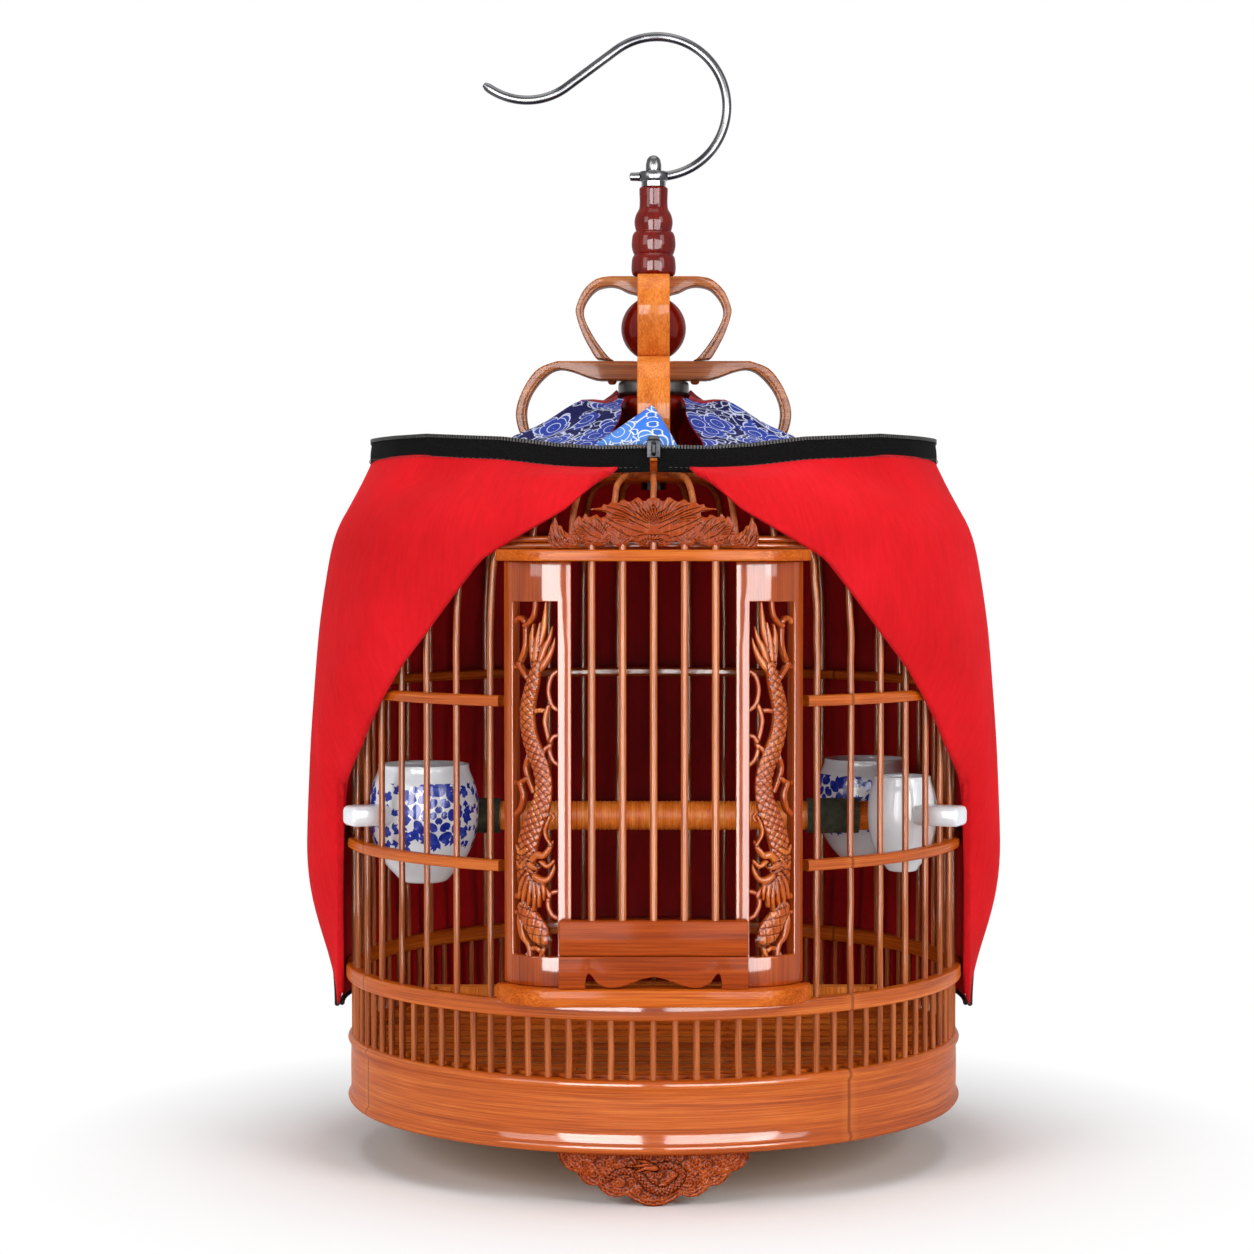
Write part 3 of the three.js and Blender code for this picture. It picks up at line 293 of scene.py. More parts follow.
class Relief:
    """A carved plate on a fine grid of x and z: how far inside it each point lies, how high it is and how
    light its painted shade and painted highlight make it."""

    FAR = 999.0
    OUTSIDE = -99.0
    OUTLINE_WIDTH = 0.45
    GROOVE_WIDTH = 0.6
    GROOVE_SHADE_WIDTH = 0.42
    BACK_SHADE = 0.3

    def __init__(self, x_low, x_high, z_low, z_high, step):
        self.step = step
        across = numpy.linspace(x_low, x_high, round((x_high - x_low) / step) + 1)
        up = numpy.linspace(z_low, z_high, round((z_high - z_low) / step) + 1)
        self.x, self.z = numpy.meshgrid(across, up)
        self.within = numpy.full(self.x.shape, self.OUTSIDE)
        self.height = numpy.zeros(self.x.shape)
        self.shade = numpy.full(self.x.shape, 0.7)

    def nearest(self, line):
        """How far each point is off a line of (x, z, half width), how far along it that is, the half width
        there and the side of it."""
        off = numpy.full(self.x.shape, self.FAR)
        run, half, side = numpy.zeros(off.shape), numpy.ones(off.shape), numpy.ones(off.shape)
        total = 0.0
        for (x0, z0, h0), (x1, z1, h1) in zip(line, line[1:]):
            dx, dz = x1 - x0, z1 - z0
            length = math.hypot(dx, dz)
            if length < 1e-6:
                continue
            share = numpy.clip(((self.x - x0) * dx + (self.z - z0) * dz) / length ** 2, 0, 1)
            ox, oz = self.x - x0 - share * dx, self.z - z0 - share * dz
            gap = numpy.hypot(ox, oz)
            closer = gap < off
            off = numpy.where(closer, gap, off)
            run = numpy.where(closer, total + share * length, run)
            half = numpy.where(closer, h0 + (h1 - h0) * share, half)
            side = numpy.where(closer, numpy.sign(dx * oz - dz * ox), side)
            total += length
        return off, run, half, side

    def fill(self, outline, lift, edge):
        """The plate inside a closed outline, sloping up from its edge."""
        odd = numpy.zeros(self.x.shape, bool)
        closed = list(outline) + [outline[0]]
        for (x0, z0), (x1, z1) in zip(closed, closed[1:]):
            if z0 != z1:
                beside = self.x < (x1 - x0) * (self.z - z0) / (z1 - z0) + x0
                odd ^= ((z0 > self.z) != (z1 > self.z)) & beside
        off = self.nearest([(x, z, 1.0) for x, z in closed])[0]
        self.within = numpy.maximum(self.within, numpy.where(odd, off, -off))
        self.height = lift * numpy.clip(off / edge, 0, 1) ** 0.6

    def stroke(self, line, lift, shade=0.85, scales=0.0, flat=0.0):
        """A rounded strand laid over what is there, with painted shade in the groove round it and in the
        grooves between its scales. scales is the size of its scales, and flat the share of its width that
        stays level."""
        off, run, half, side = self.nearest(line)
        inside = off < half
        # The groove round the strand is painted in shade
        round_it = (off - half < self.OUTLINE_WIDTH) & ~inside & (self.within > 0)
        self.height = numpy.where(round_it, self.height - 0.5, self.height)
        self.shade = numpy.where(round_it, 0.0, self.shade)
        share = numpy.clip((off / half - flat) / (1 - flat), 0, 1)
        high = lift * numpy.sqrt(1 - 0.8 * share * share)
        tone = numpy.full(off.shape, shade)
        if scales:
            one = (run + side * off) / scales
            other = (run - side * off) / scales
            groove = numpy.minimum(abs(one - numpy.round(one)), abs(other - numpy.round(other))) * scales
            lip = (one + other) / 2 % 1
            high = high - 0.6 * (1 - numpy.clip(groove / self.GROOVE_WIDTH, 0, 1)) + 0.25 * lip
            # Painted shade in the grooves between the scales
            tone = tone * numpy.clip(groove / self.GROOVE_SHADE_WIDTH - 0.25, 0, 1)
        self.height = numpy.where(inside, high, self.height)
        self.shade = numpy.where(inside, tone, self.shade)
        self.within = numpy.maximum(self.within, half - off)

    def line(self, line, lift, width):
        """A raised line with a painted highlight, or a cut one with painted shade where lift is below zero.
        """
        off = self.nearest([(x, z, 1.0) for x, z in line])[0]
        share = numpy.clip(1 - (off / width) ** 2, 0, 1)
        self.height = self.height + lift * share
        if lift < 0:
            self.shade = numpy.minimum(self.shade, 1 - share)
        else:
            self.shade = numpy.maximum(self.shade, share)

    def part(self, place, base, back):
        """The points, faces and shades of the plate, whose face lies at the depth base less its height."""
        gz, gx = numpy.gradient(self.within, self.step)
        size = numpy.maximum(numpy.hypot(gx, gz), 0.2)
        slip = numpy.where(self.within < 0, numpy.clip(-self.within, 0, self.step * 0.95), 0)
        x, z = self.x + gx / size * slip, self.z + gz / size * slip
        solid = (self.within > 0).astype(int)
        kept = solid[:-1, :-1] + solid[1:, :-1] + solid[:-1, 1:] + solid[1:, 1:] >= 2
        numbers, points, shades, faces = {}, [], [], []

        def number(row, column, behind):
            key = (row, column, behind)
            if key not in numbers:
                numbers[key] = len(points)
                depth = back if behind else base - self.height[row, column]
                points.append(place(x[row, column], z[row, column], depth))
                shades.append(self.BACK_SHADE if behind else float(self.shade[row, column]))
            return numbers[key]

        rows, columns = kept.shape
        for r, c in numpy.argwhere(kept):
            ring = [(r, c), (r, c + 1), (r + 1, c + 1), (r + 1, c)]
            faces.append([number(*corner, 0) for corner in ring])
            faces.append([number(*corner, 1) for corner in ring[::-1]])
            for k, (dr, dc) in enumerate(((-1, 0), (0, 1), (1, 0), (0, -1))):
                nr, nc = r + dr, c + dc
                if not (0 <= nr < rows and 0 <= nc < columns) or not kept[nr, nc]:
                    a, b = ring[k], ring[(k + 1) % 4]
                    faces.append([number(*b, 0), number(*a, 0), number(*a, 1), number(*b, 1)])
        return points, faces, shades


def apply_modifiers(item):
    bpy.context.view_layer.update()
    shown = item.evaluated_get(bpy.context.evaluated_depsgraph_get())
    mesh = bpy.data.meshes.new_from_object(shown)
    item.modifiers.clear()
    item.data = mesh


def make(name, shape, material, body="cage", replaces=(), bevel=0.0, crisp=38, closed=True):
    """One piece of the scene. shape is a Shape, or points and faces, with or without their shades."""
    if not isinstance(shape, Shape):
        shape = Shape().add(shape[:2], *shape[2:])
    mesh = bpy.data.meshes.new(name)
    mesh.from_pydata([Vector(p) * MM for p in shape.points], [], shape.faces)
    mesh.validate()
    item = bpy.data.objects.new(name, mesh)
    bpy.context.scene.collection.objects.link(item)
    materials = material if isinstance(material, (list, tuple)) else [material]
    for entry in materials:
        mesh.materials.append(entry)
    if shape.shades:
        layer = mesh.attributes.new("shade", "FLOAT", "POINT")
        layer.data.foreach_set("value", [shape.shades.get(i, 1.0) for i in range(len(mesh.vertices))])
    if closed:
        work = bmesh.new()
        work.from_mesh(mesh)
        bmesh.ops.recalc_face_normals(work, faces=work.faces)
        work.to_mesh(mesh)
        work.free()
    if bevel:
        rounding = item.modifiers.new("bevel", "BEVEL")
        rounding.width = bevel * MM
        rounding.segments = 3
        rounding.limit_method = "ANGLE"
        rounding.angle_limit = math.radians(crisp)
        apply_modifiers(item)
    item.data.shade_smooth()
    item.data.set_sharp_from_angle(angle=math.radians(crisp))
    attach(item, body)
    if replaces:
        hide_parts(*replaces)
    return item


# Materials, whose scales and depths are in metres
class Graph:
    """A material's node tree, with short names for the nodes that are used here."""

    def __init__(self, name, slot):
        self.material = bpy.data.materials.new(name)
        self.material.use_nodes = True
        self.material["slot"] = slot
        self.tree = self.material.node_tree
        self.shader = self.tree.nodes["Principled BSDF"]

    def feed(self, socket, value):
        if isinstance(value, bpy.types.NodeSocket):
            self.tree.links.new(value, socket)
        elif isinstance(value, (tuple, list)) and len(value) == 3 and socket.type == "RGBA":
            socket.default_value = (*value, 1)
        else:
            socket.default_value = value

    def node(self, kind, inputs, **settings):
        made = self.tree.nodes.new(kind)
        for key, value in settings.items():
            setattr(made, key, value)
        for key, value in inputs.items():
            self.feed(made.inputs[key], value)
        return made

    def math(self, operation, a, b=0.0, c=0.0):
        return self.node("ShaderNodeMath", {0: a, 1: b, 2: c}, operation=operation).outputs[0]

    def times(self, a, b):
        return self.math("MULTIPLY", a, b)

    def plus(self, a, b):
        return self.math("ADD", a, b)

    def minus(self, a, b):
        return self.math("SUBTRACT", a, b)

    def off_middle(self, value, middle=0.5):
        """How far a value that repeats from 0 to 1 is from the middle of its step."""
        return self.math("ABSOLUTE", self.minus(self.math("FRACT", value), middle))

    def blend(self, a, b, share):
        """That share of a, and b for what is left."""
        return self.plus(self.times(a, share), self.times(b, 1 - share))

    def shift(self, operation, a, b):
        return self.node("ShaderNodeVectorMath", {0: a, 1: b}, operation=operation).outputs[0]

    def here(self):
        return self.node("ShaderNodeTexCoord", {}).outputs["Object"]

    def stretch(self, vector, scale):
        return self.node("ShaderNodeMapping", {"Vector": vector, "Scale": scale}).outputs[0]

    def split(self, vector):
        return self.node("ShaderNodeSeparateXYZ", {0: vector}).outputs

    def unite(self, x, y, z):
        return self.node("ShaderNodeCombineXYZ", {0: x, 1: y, 2: z}).outputs[0]

    def rolled(self, radius):
        """Coordinates with the way round the cage along X, the level along Y and the radius along Z."""
        x, y, z = self.split(self.here())
        angle = self.math("ARCTAN2", x, self.times(y, -1.0))
        reach = self.math("SQRT", self.plus(self.math("POWER", x, 2.0), self.math("POWER", y, 2.0)))
        return self.unite(self.times(angle, radius), z, reach)

    def noise(self, vector, scale, detail=3.0, roughness=0.5, distortion=0.0):
        inputs = {"Vector": vector, "Scale": scale, "Detail": detail, "Roughness": roughness,
                  "Distortion": distortion}
        return self.node("ShaderNodeTexNoise", inputs).outputs["Fac"]

    def grain(self, vector, stretch, detail, roughness):
        """Noise drawn out along the axes that stretch gives small numbers."""
        return self.noise(self.stretch(vector, stretch), 1.0, detail, roughness)

    def ramp(self, factor, stops):
        made = self.node("ShaderNodeValToRGB", {0: factor})
        elements = made.color_ramp.elements
        while len(elements) < len(stops):
            elements.new(0.5)
        for element, (position, color) in zip(elements, stops):
            element.position = position
            element.color = (*color, 1) if isinstance(color, tuple) else (color, color, color, 1)
        return made.outputs[0]

    def mix(self, factor, a, b, blend="MIX"):
        made = self.node("ShaderNodeMix", {}, data_type="RGBA", blend_type=blend)
        self.feed(made.inputs[0], factor)
        self.feed(made.inputs[6], a)
        self.feed(made.inputs[7], b)
        return made.outputs[2]

    def fit(self, value, low, high, to_low=0.0, to_high=1.0):
        inputs = {0: value, 1: low, 2: high, 3: to_low, 4: to_high}
        return self.node("ShaderNodeMapRange", inputs).outputs[0]

    def bump(self, height, distance, normal=None):
        inputs = {"Height": height, "Distance": distance, "Strength": 1.0}
        if normal is not None:
            inputs["Normal"] = normal
        return self.node("ShaderNodeBump", inputs).outputs[0]

    def varnish(self, weight):
        """A coat that fades where the surface turns away."""
        facing = self.node("ShaderNodeLayerWeight", {"Blend": 0.5}).outputs["Facing"]
        return self.fit(facing, 0.3, 0.85, weight, weight * 0.05)

    def done(self, **sockets):
        for key, value in sockets.items():
            self.feed(self.shader.inputs[key.replace("_", " ")], value)
        return self.material


def tint(red, green, blue):
    """A colour given in the 0 to 255 steps of a picture, as linear light."""
    def linear(value):
        share = value / 255
        return share / 12.92 if share <= 0.04045 else ((share + 0.055) / 1.055) ** 2.4
    return linear(red), linear(green), linear(blue)


def bamboo_material(name, slot, grain, dark, mid, light, gloss=0.3, coat=0.2, nodes_every=0.0):
    """Varnished bamboo. grain(g) gives the place and how it is stretched, and nodes_every is the way from
    one of the culm's joints to the next."""
    g = Graph(name, slot)
    place, stretch = grain(g)
    fibres = g.grain(place, stretch, 5.0, 0.62)
    wide = tuple(value * 0.12 for value in stretch)
    clouds = g.grain(place, wide, 3.0, 0.5)
    dashes = g.grain(place, tuple(value * 1.9 for value in stretch), 2.0, 0.4)
    colour = g.ramp(g.blend(fibres, clouds, 0.62), [(0.30, dark), (0.5, mid), (0.72, light)])
    dash = g.fit(dashes, 0.60, 0.70)
    colour = g.mix(g.times(dash, 0.35), colour, dark)
    height = g.minus(fibres, g.times(dash, 0.5))
    if nodes_every:
        turn = g.off_middle(g.math("DIVIDE", g.split(place)[0], nodes_every), 0.36)
        line = g.fit(turn, 0.002, 0.0045, 1.0, 0.0)
        halo = g.fit(turn, 0.0, 0.022, 1.0, 0.0)
        colour = g.mix(g.times(halo, 0.28), colour, light)
        colour = g.mix(g.times(line, 0.75), colour, dark)
        height = g.plus(height, g.times(halo, 1.2))
    rough = g.fit(fibres, 0.2, 0.8, gloss, gloss + 0.16)
    normal = g.bump(height, 0.00012)
    return g.done(Base_Color=colour, Roughness=rough, Normal=normal, Coat_Weight=g.varnish(coat),
                  Coat_Roughness=0.09, Coat_IOR=1.5, Specular_IOR_Level=0.02)


def along_level(g):
    return g.here(), (1300.0, 1300.0, 22.0)


def along_ring(g):
    return g.rolled(0.16), (20.0, 1300.0, 1300.0)


def along_width(g):
    return g.here(), (20.0, 1200.0, 1200.0)


AMBER = tint(228, 130, 46)
HONEY = tint(194, 88, 18)
UMBER = tint(134, 52, 8)
ROSE = tint(222, 138, 78)
COPPER = tint(176, 92, 44)
BARK = tint(104, 46, 18)
RUST = tint(156, 60, 16)
# Painted shade for the carvings' cuts
CARVING_SHADE_BROWN = tint(48, 14, 4)

bamboo_round = bamboo_material("bamboo_round", "bamboo", along_ring, tint(126, 48, 6), HONEY, AMBER,
                               gloss=0.24, coat=0.6, nodes_every=0.285)
bamboo_upright = bamboo_material("bamboo_upright", "bamboo", along_level, tint(112, 42, 6),
                                 tint(166, 68, 12), tint(196, 94, 26), gloss=0.26, coat=0.62)
# Deep-coloured bamboo of the door board and threshold, also used as painted shade on the roof board
bamboo_deep_and_shaded = bamboo_material("bamboo_deep_and_shaded", "bamboo", along_width, tint(104, 36, 4), tint(160, 62, 8),
                              tint(190, 86, 20), gloss=0.42, coat=0.03)
bamboo_level = bamboo_material("bamboo_level", "bamboo", along_width, UMBER, HONEY, AMBER, coat=0.1)
strip_wood = bamboo_material("strip_wood", "bamboo", along_width, tint(90, 38, 8), tint(160, 82, 26),
                             tint(208, 134, 66), coat=0.22)
strip_face = bamboo_material("strip_face", "bamboo", along_level, tint(176, 78, 20), tint(224, 124, 46),
                             tint(244, 160, 80))
bamboo_bars = bamboo_material("bamboo_bars", "bar_bamboo", along_level, BARK, COPPER, ROSE, gloss=0.34,
                              coat=0.3)


def carved_material(name, dark, mid, light, coat):
    """Carved and stained bamboo, with painted shade in its cuts and a painted highlight on its raised lines.
    The piece's shade attribute is 0 in the cuts and near 1 on the raised lines.
    """
    g = Graph(name, "carved_bamboo")
    place = g.here()
    fibres = g.grain(place, (800.0, 800.0, 40.0), 4.0, 0.6)
    patches = g.noise(place, 60.0, 2.0, 0.5)
    colour = g.ramp(g.blend(fibres, patches, 0.6), [(0.32, mid), (0.52, mid), (0.7, light)])
    shade = g.node("ShaderNodeAttribute", {}, attribute_name="shade").outputs["Fac"]
    # Painted shade where the shade attribute is low, and a painted highlight where it is near 1
    colour = g.mix(g.fit(shade, 0.05, 0.6, 1.0, 0.0), colour, dark)
    colour = g.mix(g.fit(shade, 0.8, 1.0, 0.0, 0.45), colour, light)
    return g.done(Base_Color=colour, Roughness=g.fit(fibres, 0.2, 0.8, 0.32, 0.5),
                  Normal=g.bump(fibres, 0.0001), Coat_Weight=g.varnish(coat), Coat_Roughness=0.1,
                  Specular_IOR_Level=0.01)


carved_panel = carved_material("carved_panel", CARVING_SHADE_BROWN, tint(172, 70, 18), tint(230, 136, 60), 0.3)
carved_dark = carved_material("carved_dark", CARVING_SHADE_BROWN, RUST, tint(206, 104, 44), 0.08)


def board_material():
    g = Graph("board_wood", "board_wood")
    place = g.here()
    fibres = g.grain(place, (30.0, 420.0, 420.0), 5.0, 0.6)
    stops = [(0.3, tint(150, 104, 58)), (0.55, tint(190, 142, 88)), (0.75, tint(212, 170, 118))]
    colour = g.ramp(fibres, stops)
    return g.done(Base_Color=colour, Roughness=0.5, Normal=g.bump(fibres, 0.0001))


def lacquer_material():
    g = Graph("red_lacquer", "red_lacquer")
    place = g.here()
    fibres = g.grain(place, (420.0, 420.0, 30.0), 5.0, 0.6)
    clouds = g.noise(place, 45.0, 2.0, 0.5)
    stops = [(0.32, tint(70, 6, 3)), (0.52, tint(114, 14, 5)), (0.72, tint(142, 34, 12))]
    colour = g.ramp(g.blend(fibres, clouds, 0.55), stops)
    return g.done(Base_Color=colour, Roughness=0.3, Coat_Weight=g.varnish(0.34), Coat_Roughness=0.03,
                  Specular_IOR_Level=0.02, Normal=g.bump(clouds, 0.0002))


def black_wood_material():
    g = Graph("black_wood", "black_wood")
    fibres = g.grain(g.here(), (600.0, 600.0, 40.0), 4.0, 0.6)
    colour = g.ramp(fibres, [(0.3, tint(12, 9, 8)), (0.7, tint(38, 28, 24))])
    return g.done(Base_Color=colour, Roughness=g.fit(fibres, 0.2, 0.8, 0.28, 0.42),
                  Normal=g.bump(fibres, 0.0001))


def steel_material():
    g = Graph("steel", "steel")
    place = g.here()
    brushed = g.grain(place, (2600.0, 2600.0, 2600.0), 2.0, 0.5)
    smudges = g.noise(place, 55.0, 3.0, 0.55)
    colour = g.ramp(smudges, [(0.3, tint(62, 62, 64)), (0.7, tint(96, 96, 98))])
    return g.done(Base_Color=colour, Metallic=1.0, Roughness=g.fit(smudges, 0.3, 0.7, 0.16, 0.26),
                  Normal=g.bump(brushed, 0.000004))


def porcelain_material(name, low, high):
    g = Graph(name, "porcelain")
    clouds = g.noise(g.here(), 28.0, 3.0, 0.5)
    specks = g.noise(g.here(), 900.0, 1.0, 0.4)
    colour = g.ramp(clouds, [(0.3, low), (0.7, high)])
    colour = g.mix(g.fit(specks, 0.74, 0.78, 0.0, 0.25), colour, tint(150, 150, 160))
    return g.done(Base_Color=colour, Roughness=0.2, Coat_Weight=0.3, Coat_Roughness=0.03,
                  Specular_IOR_Level=0.1, Normal=g.bump(clouds, 0.0004))


def blue_glaze_material():
    g = Graph("blue_glaze", "porcelain")
    pool = g.noise(g.here(), 220.0, 3.0, 0.55)
    colour = g.ramp(pool, [(0.3, tint(16, 28, 128)), (0.55, tint(36, 58, 170)), (0.75, tint(86, 108, 206))])
    return g.done(Base_Color=colour, Roughness=0.2, Coat_Weight=0.3, Coat_Roughness=0.03,
                  Specular_IOR_Level=0.1, Normal=g.bump(pool, 0.00005))


def thread_material():
    """Thread wound side by side round the perch, with painted shade in the grooves between its turns."""
    g = Graph("perch_thread", "perch_wood")
    place = g.here()
    wound = g.off_middle(g.times(g.split(place)[0], 1100.0))
    bands = g.grain(place, (320.0, 18.0, 18.0), 4.0, 0.6)
    colour = g.ramp(bands, [(0.3, tint(222, 96, 22)), (0.5, tint(250, 130, 36)), (0.7, tint(255, 166, 74))])
    # Painted shade in the grooves between the turns
    colour = g.mix(g.fit(wound, 0.34, 0.5, 0.0, 0.55), colour, tint(120, 48, 14))
    return g.done(Base_Color=colour, Roughness=0.42, Normal=g.bump(g.times(wound, -1.0), 0.0003),
                  Specular_IOR_Level=0.15)


def grit_material():
    g = Graph("grit_sleeve", "grit_sleeve")
    place = g.here()
    grains = g.node("ShaderNodeTexVoronoi", {"Vector": place, "Scale": 1300.0}).outputs["Distance"]
    patches = g.noise(place, 120.0, 4.0, 0.6)
    colour = g.ramp(patches, [(0.3, tint(36, 38, 28)), (0.55, tint(66, 66, 50)), (0.75, tint(98, 92, 66))])
    return g.done(Base_Color=colour, Roughness=0.92, Normal=g.bump(grains, 0.0005), Specular_IOR_Level=0.1)


def weave_height(g, across, up, pitch):
    """The height of a plain weave with that many threads to the metre."""
    warp = g.math("SINE", g.times(across, pitch))
    weft = g.math("SINE", g.times(up, pitch))
    return g.times(warp, weft)


def lining_material(name, low, mid, high):
    g = Graph(name, "red_lining")
    rolled = g.rolled(0.17)
    across, up, _ = g.split(rolled)
    weave = weave_height(g, across, up, 2 * math.pi * 1100)
    slubs = g.grain(rolled, (500.0, 60.0, 100.0), 3.0, 0.6)
    clouds = g.noise(g.here(), 14.0, 3.0, 0.5)
    colour = g.ramp(g.blend(clouds, slubs, 0.7), [(0.3, low), (0.55, mid), (0.75, high)])
    creases = g.noise(g.here(), 42.0, 4.0, 0.55, 0.6)
    normal = g.bump(weave, 0.00006, g.bump(creases, 0.0016))
    return g.done(Base_Color=colour, Roughness=0.85, Sheen_Weight=0.03, Sheen_Roughness=0.5, Normal=normal,
                  Specular_IOR_Level=0.04)


def flower_layer(g, vector, scale, radius, petals, randomness=0.75):
    """Flowers scattered over a plane: how far inside its petals a point lies, from 0 at the edge."""
    cells = g.node("ShaderNodeTexVoronoi", {"Vector": vector, "Scale": scale, "Randomness": randomness})
    offset = g.shift("SUBTRACT", g.stretch(vector, (scale, scale, scale)), g.stretch(
        cells.outputs["Position"], (scale, scale, scale)))
    dx, dy, _ = g.split(offset)
    angle = g.math("ARCTAN2", dy, dx)
    length = g.math("SQRT", g.plus(g.times(dx, dx), g.times(dy, dy)))
    lobes = g.math("ABSOLUTE", g.math("SINE", g.times(angle, petals / 2)))
    edge = g.plus(radius * 0.72, g.times(lobes, radius * 0.42))
    return g.minus(edge, length), length


def print_material(name, ground, fill, light):
    """Cotton printed with outlined flowers, leaves and vines."""
    g = Graph(name, "blue_print")
    across, up, reach = g.split(g.rolled(0.17))
    x, y, _ = g.split(g.here())
    roof = g.fit(reach, 0.1385, 0.1386)
    wall_run = g.minus(up, reach)
    across = g.plus(x, g.times(roof, g.minus(across, x)))
    run = g.plus(y, g.times(roof, g.minus(wall_run, y)))
    plane = g.unite(across, run, 0.0)
    swirl = g.node("ShaderNodeTexNoise", {"Vector": plane, "Scale": 60.0, "Detail": 2.0}).outputs["Color"]
    bent = g.shift("ADD", plane, g.shift("MULTIPLY", swirl, (0.004, 0.004, 0.0)))
    colour = g.mix(g.noise(plane, 90.0, 3.0, 0.5), ground, tuple(value * 1.5 for value in ground))
    cells = {"Vector": bent, "Scale": 48.0}
    vines = g.node("ShaderNodeTexVoronoi", cells, feature="DISTANCE_TO_EDGE").outputs[0]
    colour = g.mix(g.fit(vines, 0.012, 0.028, 0.85, 0.0), colour, light)
    leaf, _ = flower_layer(g, g.stretch(bent, (1.0, 1.7, 1.0)), 84.0, 0.30, 2.0)
    colour = g.mix(g.fit(leaf, 0.0, 0.03), colour, light)
    colour = g.mix(g.fit(leaf, 0.07, 0.1), colour, ground)
    flower, length = flower_layer(g, bent, 46.0, 0.44, 5.0)
    colour = g.mix(g.fit(flower, 0.0, 0.02), colour, light)
    colour = g.mix(g.fit(flower, 0.04, 0.06), colour, fill)
    ring = g.off_middle(g.times(length, 6.0))
    lines = g.times(g.fit(ring, 0.42, 0.46), g.fit(flower, 0.04, 0.06))
    colour = g.mix(lines, colour, light)
    weave = weave_height(g, across, run, 2 * math.pi * 1500)
    creases = g.noise(g.here(), 46.0, 4.0, 0.55, 0.5)
    normal = g.bump(weave, 0.00005, g.bump(creases, 0.0012))
    return g.done(Base_Color=colour, Roughness=0.72, Sheen_Weight=0.03, Normal=normal,
                  Specular_IOR_Level=0.08)


def tape_material():
    """Woven zip tape: a herringbone of fine ribs."""
    g = Graph("zip_cloth", "zip_cloth")
    across, up, _ = g.split(g.rolled(0.14))
    zigzag = g.math("PINGPONG", g.times(across, 1.0), 0.0016)
    ribs = g.math("SINE", g.times(g.plus(up, zigzag), 2 * math.pi * 950))
    fuzz = g.noise(g.here(), 1400.0, 3.0, 0.6)
    colour = g.ramp(g.plus(g.times(ribs, 0.25), fuzz), [
        (0.3, tint(3, 3, 4)), (0.6, tint(12, 12, 13)), (0.9, tint(34, 34, 34))])
    return g.done(Base_Color=colour, Roughness=0.8, Normal=g.bump(ribs, 0.0002), Specular_IOR_Level=0.03)


def plain_material(name, slot, dark, light, scale, roughness, **sockets):
    g = Graph(name, slot)
    patches = g.noise(g.here(), scale, 3.0, 0.6)
    colour = g.ramp(patches, [(0.35, dark), (0.65, light)])
    return g.done(Base_Color=colour, Roughness=g.fit(patches, 0.3, 0.7, roughness, roughness + 0.12),
                  Normal=g.bump(patches, 0.00005), Specular_IOR_Level=0.12, **sockets)


board_wood = board_material()
red_lacquer = lacquer_material()
black_wood = black_wood_material()
steel = steel_material()
porcelain = porcelain_material("porcelain", tint(214, 220, 226), tint(238, 242, 246))
blue_glaze = blue_glaze_material()
thread = thread_material()
grit = grit_material()
red_lining = lining_material("red_lining", tint(200, 9, 18), tint(224, 15, 27), tint(238, 27, 41))
# A darker copy of the red lining: painted shade for the inside of the cover
shaded_lining = lining_material("shaded_lining", tint(156, 3, 9), tint(186, 5, 14), tint(210, 10, 20))
blue_print = print_material("blue_print", tint(10, 12, 66), tint(40, 62, 156), tint(206, 214, 240))
sky_print = print_material("sky_print", tint(50, 110, 208), tint(84, 140, 224), tint(236, 242, 250))
zip_cloth = tape_material()
zip_teeth = plain_material("zip_teeth", "zip_metal", tint(22, 22, 22), tint(84, 84, 82), 1600.0, 0.5)
zip_metal = plain_material("zip_metal", "zip_metal", tint(16, 16, 18), tint(40, 40, 44), 500.0, 0.25,
                           Metallic=0.6)
pull_rubber = plain_material("pull_rubber", "zip_cloth", tint(58, 58, 60), tint(86, 86, 88), 400.0, 0.6)
piping = plain_material("piping", "zip_cloth", tint(12, 12, 13), tint(30, 30, 32), 700.0, 0.75)
trim_red = plain_material("trim_red", "red_lining", tint(120, 8, 22), tint(158, 18, 34), 300.0, 0.7,
                          Sheen_Weight=0.4)
stitch = plain_material("stitch", "zip_cloth", tint(44, 44, 44), tint(76, 76, 74), 500.0, 0.7)


# Base
RIM_THICKNESS = 7
BEAD_HALF = 2.7
BEAD_STANDS_OUT = 1.7
LEDGE_DROP = 3.5
LEDGE_REACH = 7
LEDGE_HEIGHT = 6


def build_rim():
    """The bent rim, with a bead at its top and bottom and the ledge that the floor lies on."""
    inner = RIM_RADIUS - RIM_THICKNESS
    face = RIM_RADIUS - BEAD_STANDS_OUT
    low, high = rim_low.z, rim_high.z
    ledge = high - LEDGE_DROP

    def bead(level):
        return [(face + BEAD_STANDS_OUT * math.sin(math.pi * k / 8), level + BEAD_HALF * k / 4)
                for k in range(9)]

    profile = [(inner, low), (inner + 1, low)] + bead(low)
    profile += [(face + out, lerp(low, high, up)) for out, up in ((0.1, 0.3), (0.2, 0.5), (0.1, 0.7))]
    profile += bead(high - 2 * BEAD_HALF)
    profile += [(inner + 1, high), (inner, high - 0.6)]
    profile += [(inner, ledge), (inner - LEDGE_REACH, ledge - 0.5), (inner, ledge - LEDGE_HEIGHT)]
    make("rim", lathe(profile, 192, closed=True), bamboo_round, replaces=["base_rim"], crisp=50)


# The feet, curved like the rim, and their carving
FOOT_RADIUS = 157.6
FOOT_THICKNESS = 6.8
FOOT_HALF = foot_high.x
FOOT_HEIGHT = rim_low.z
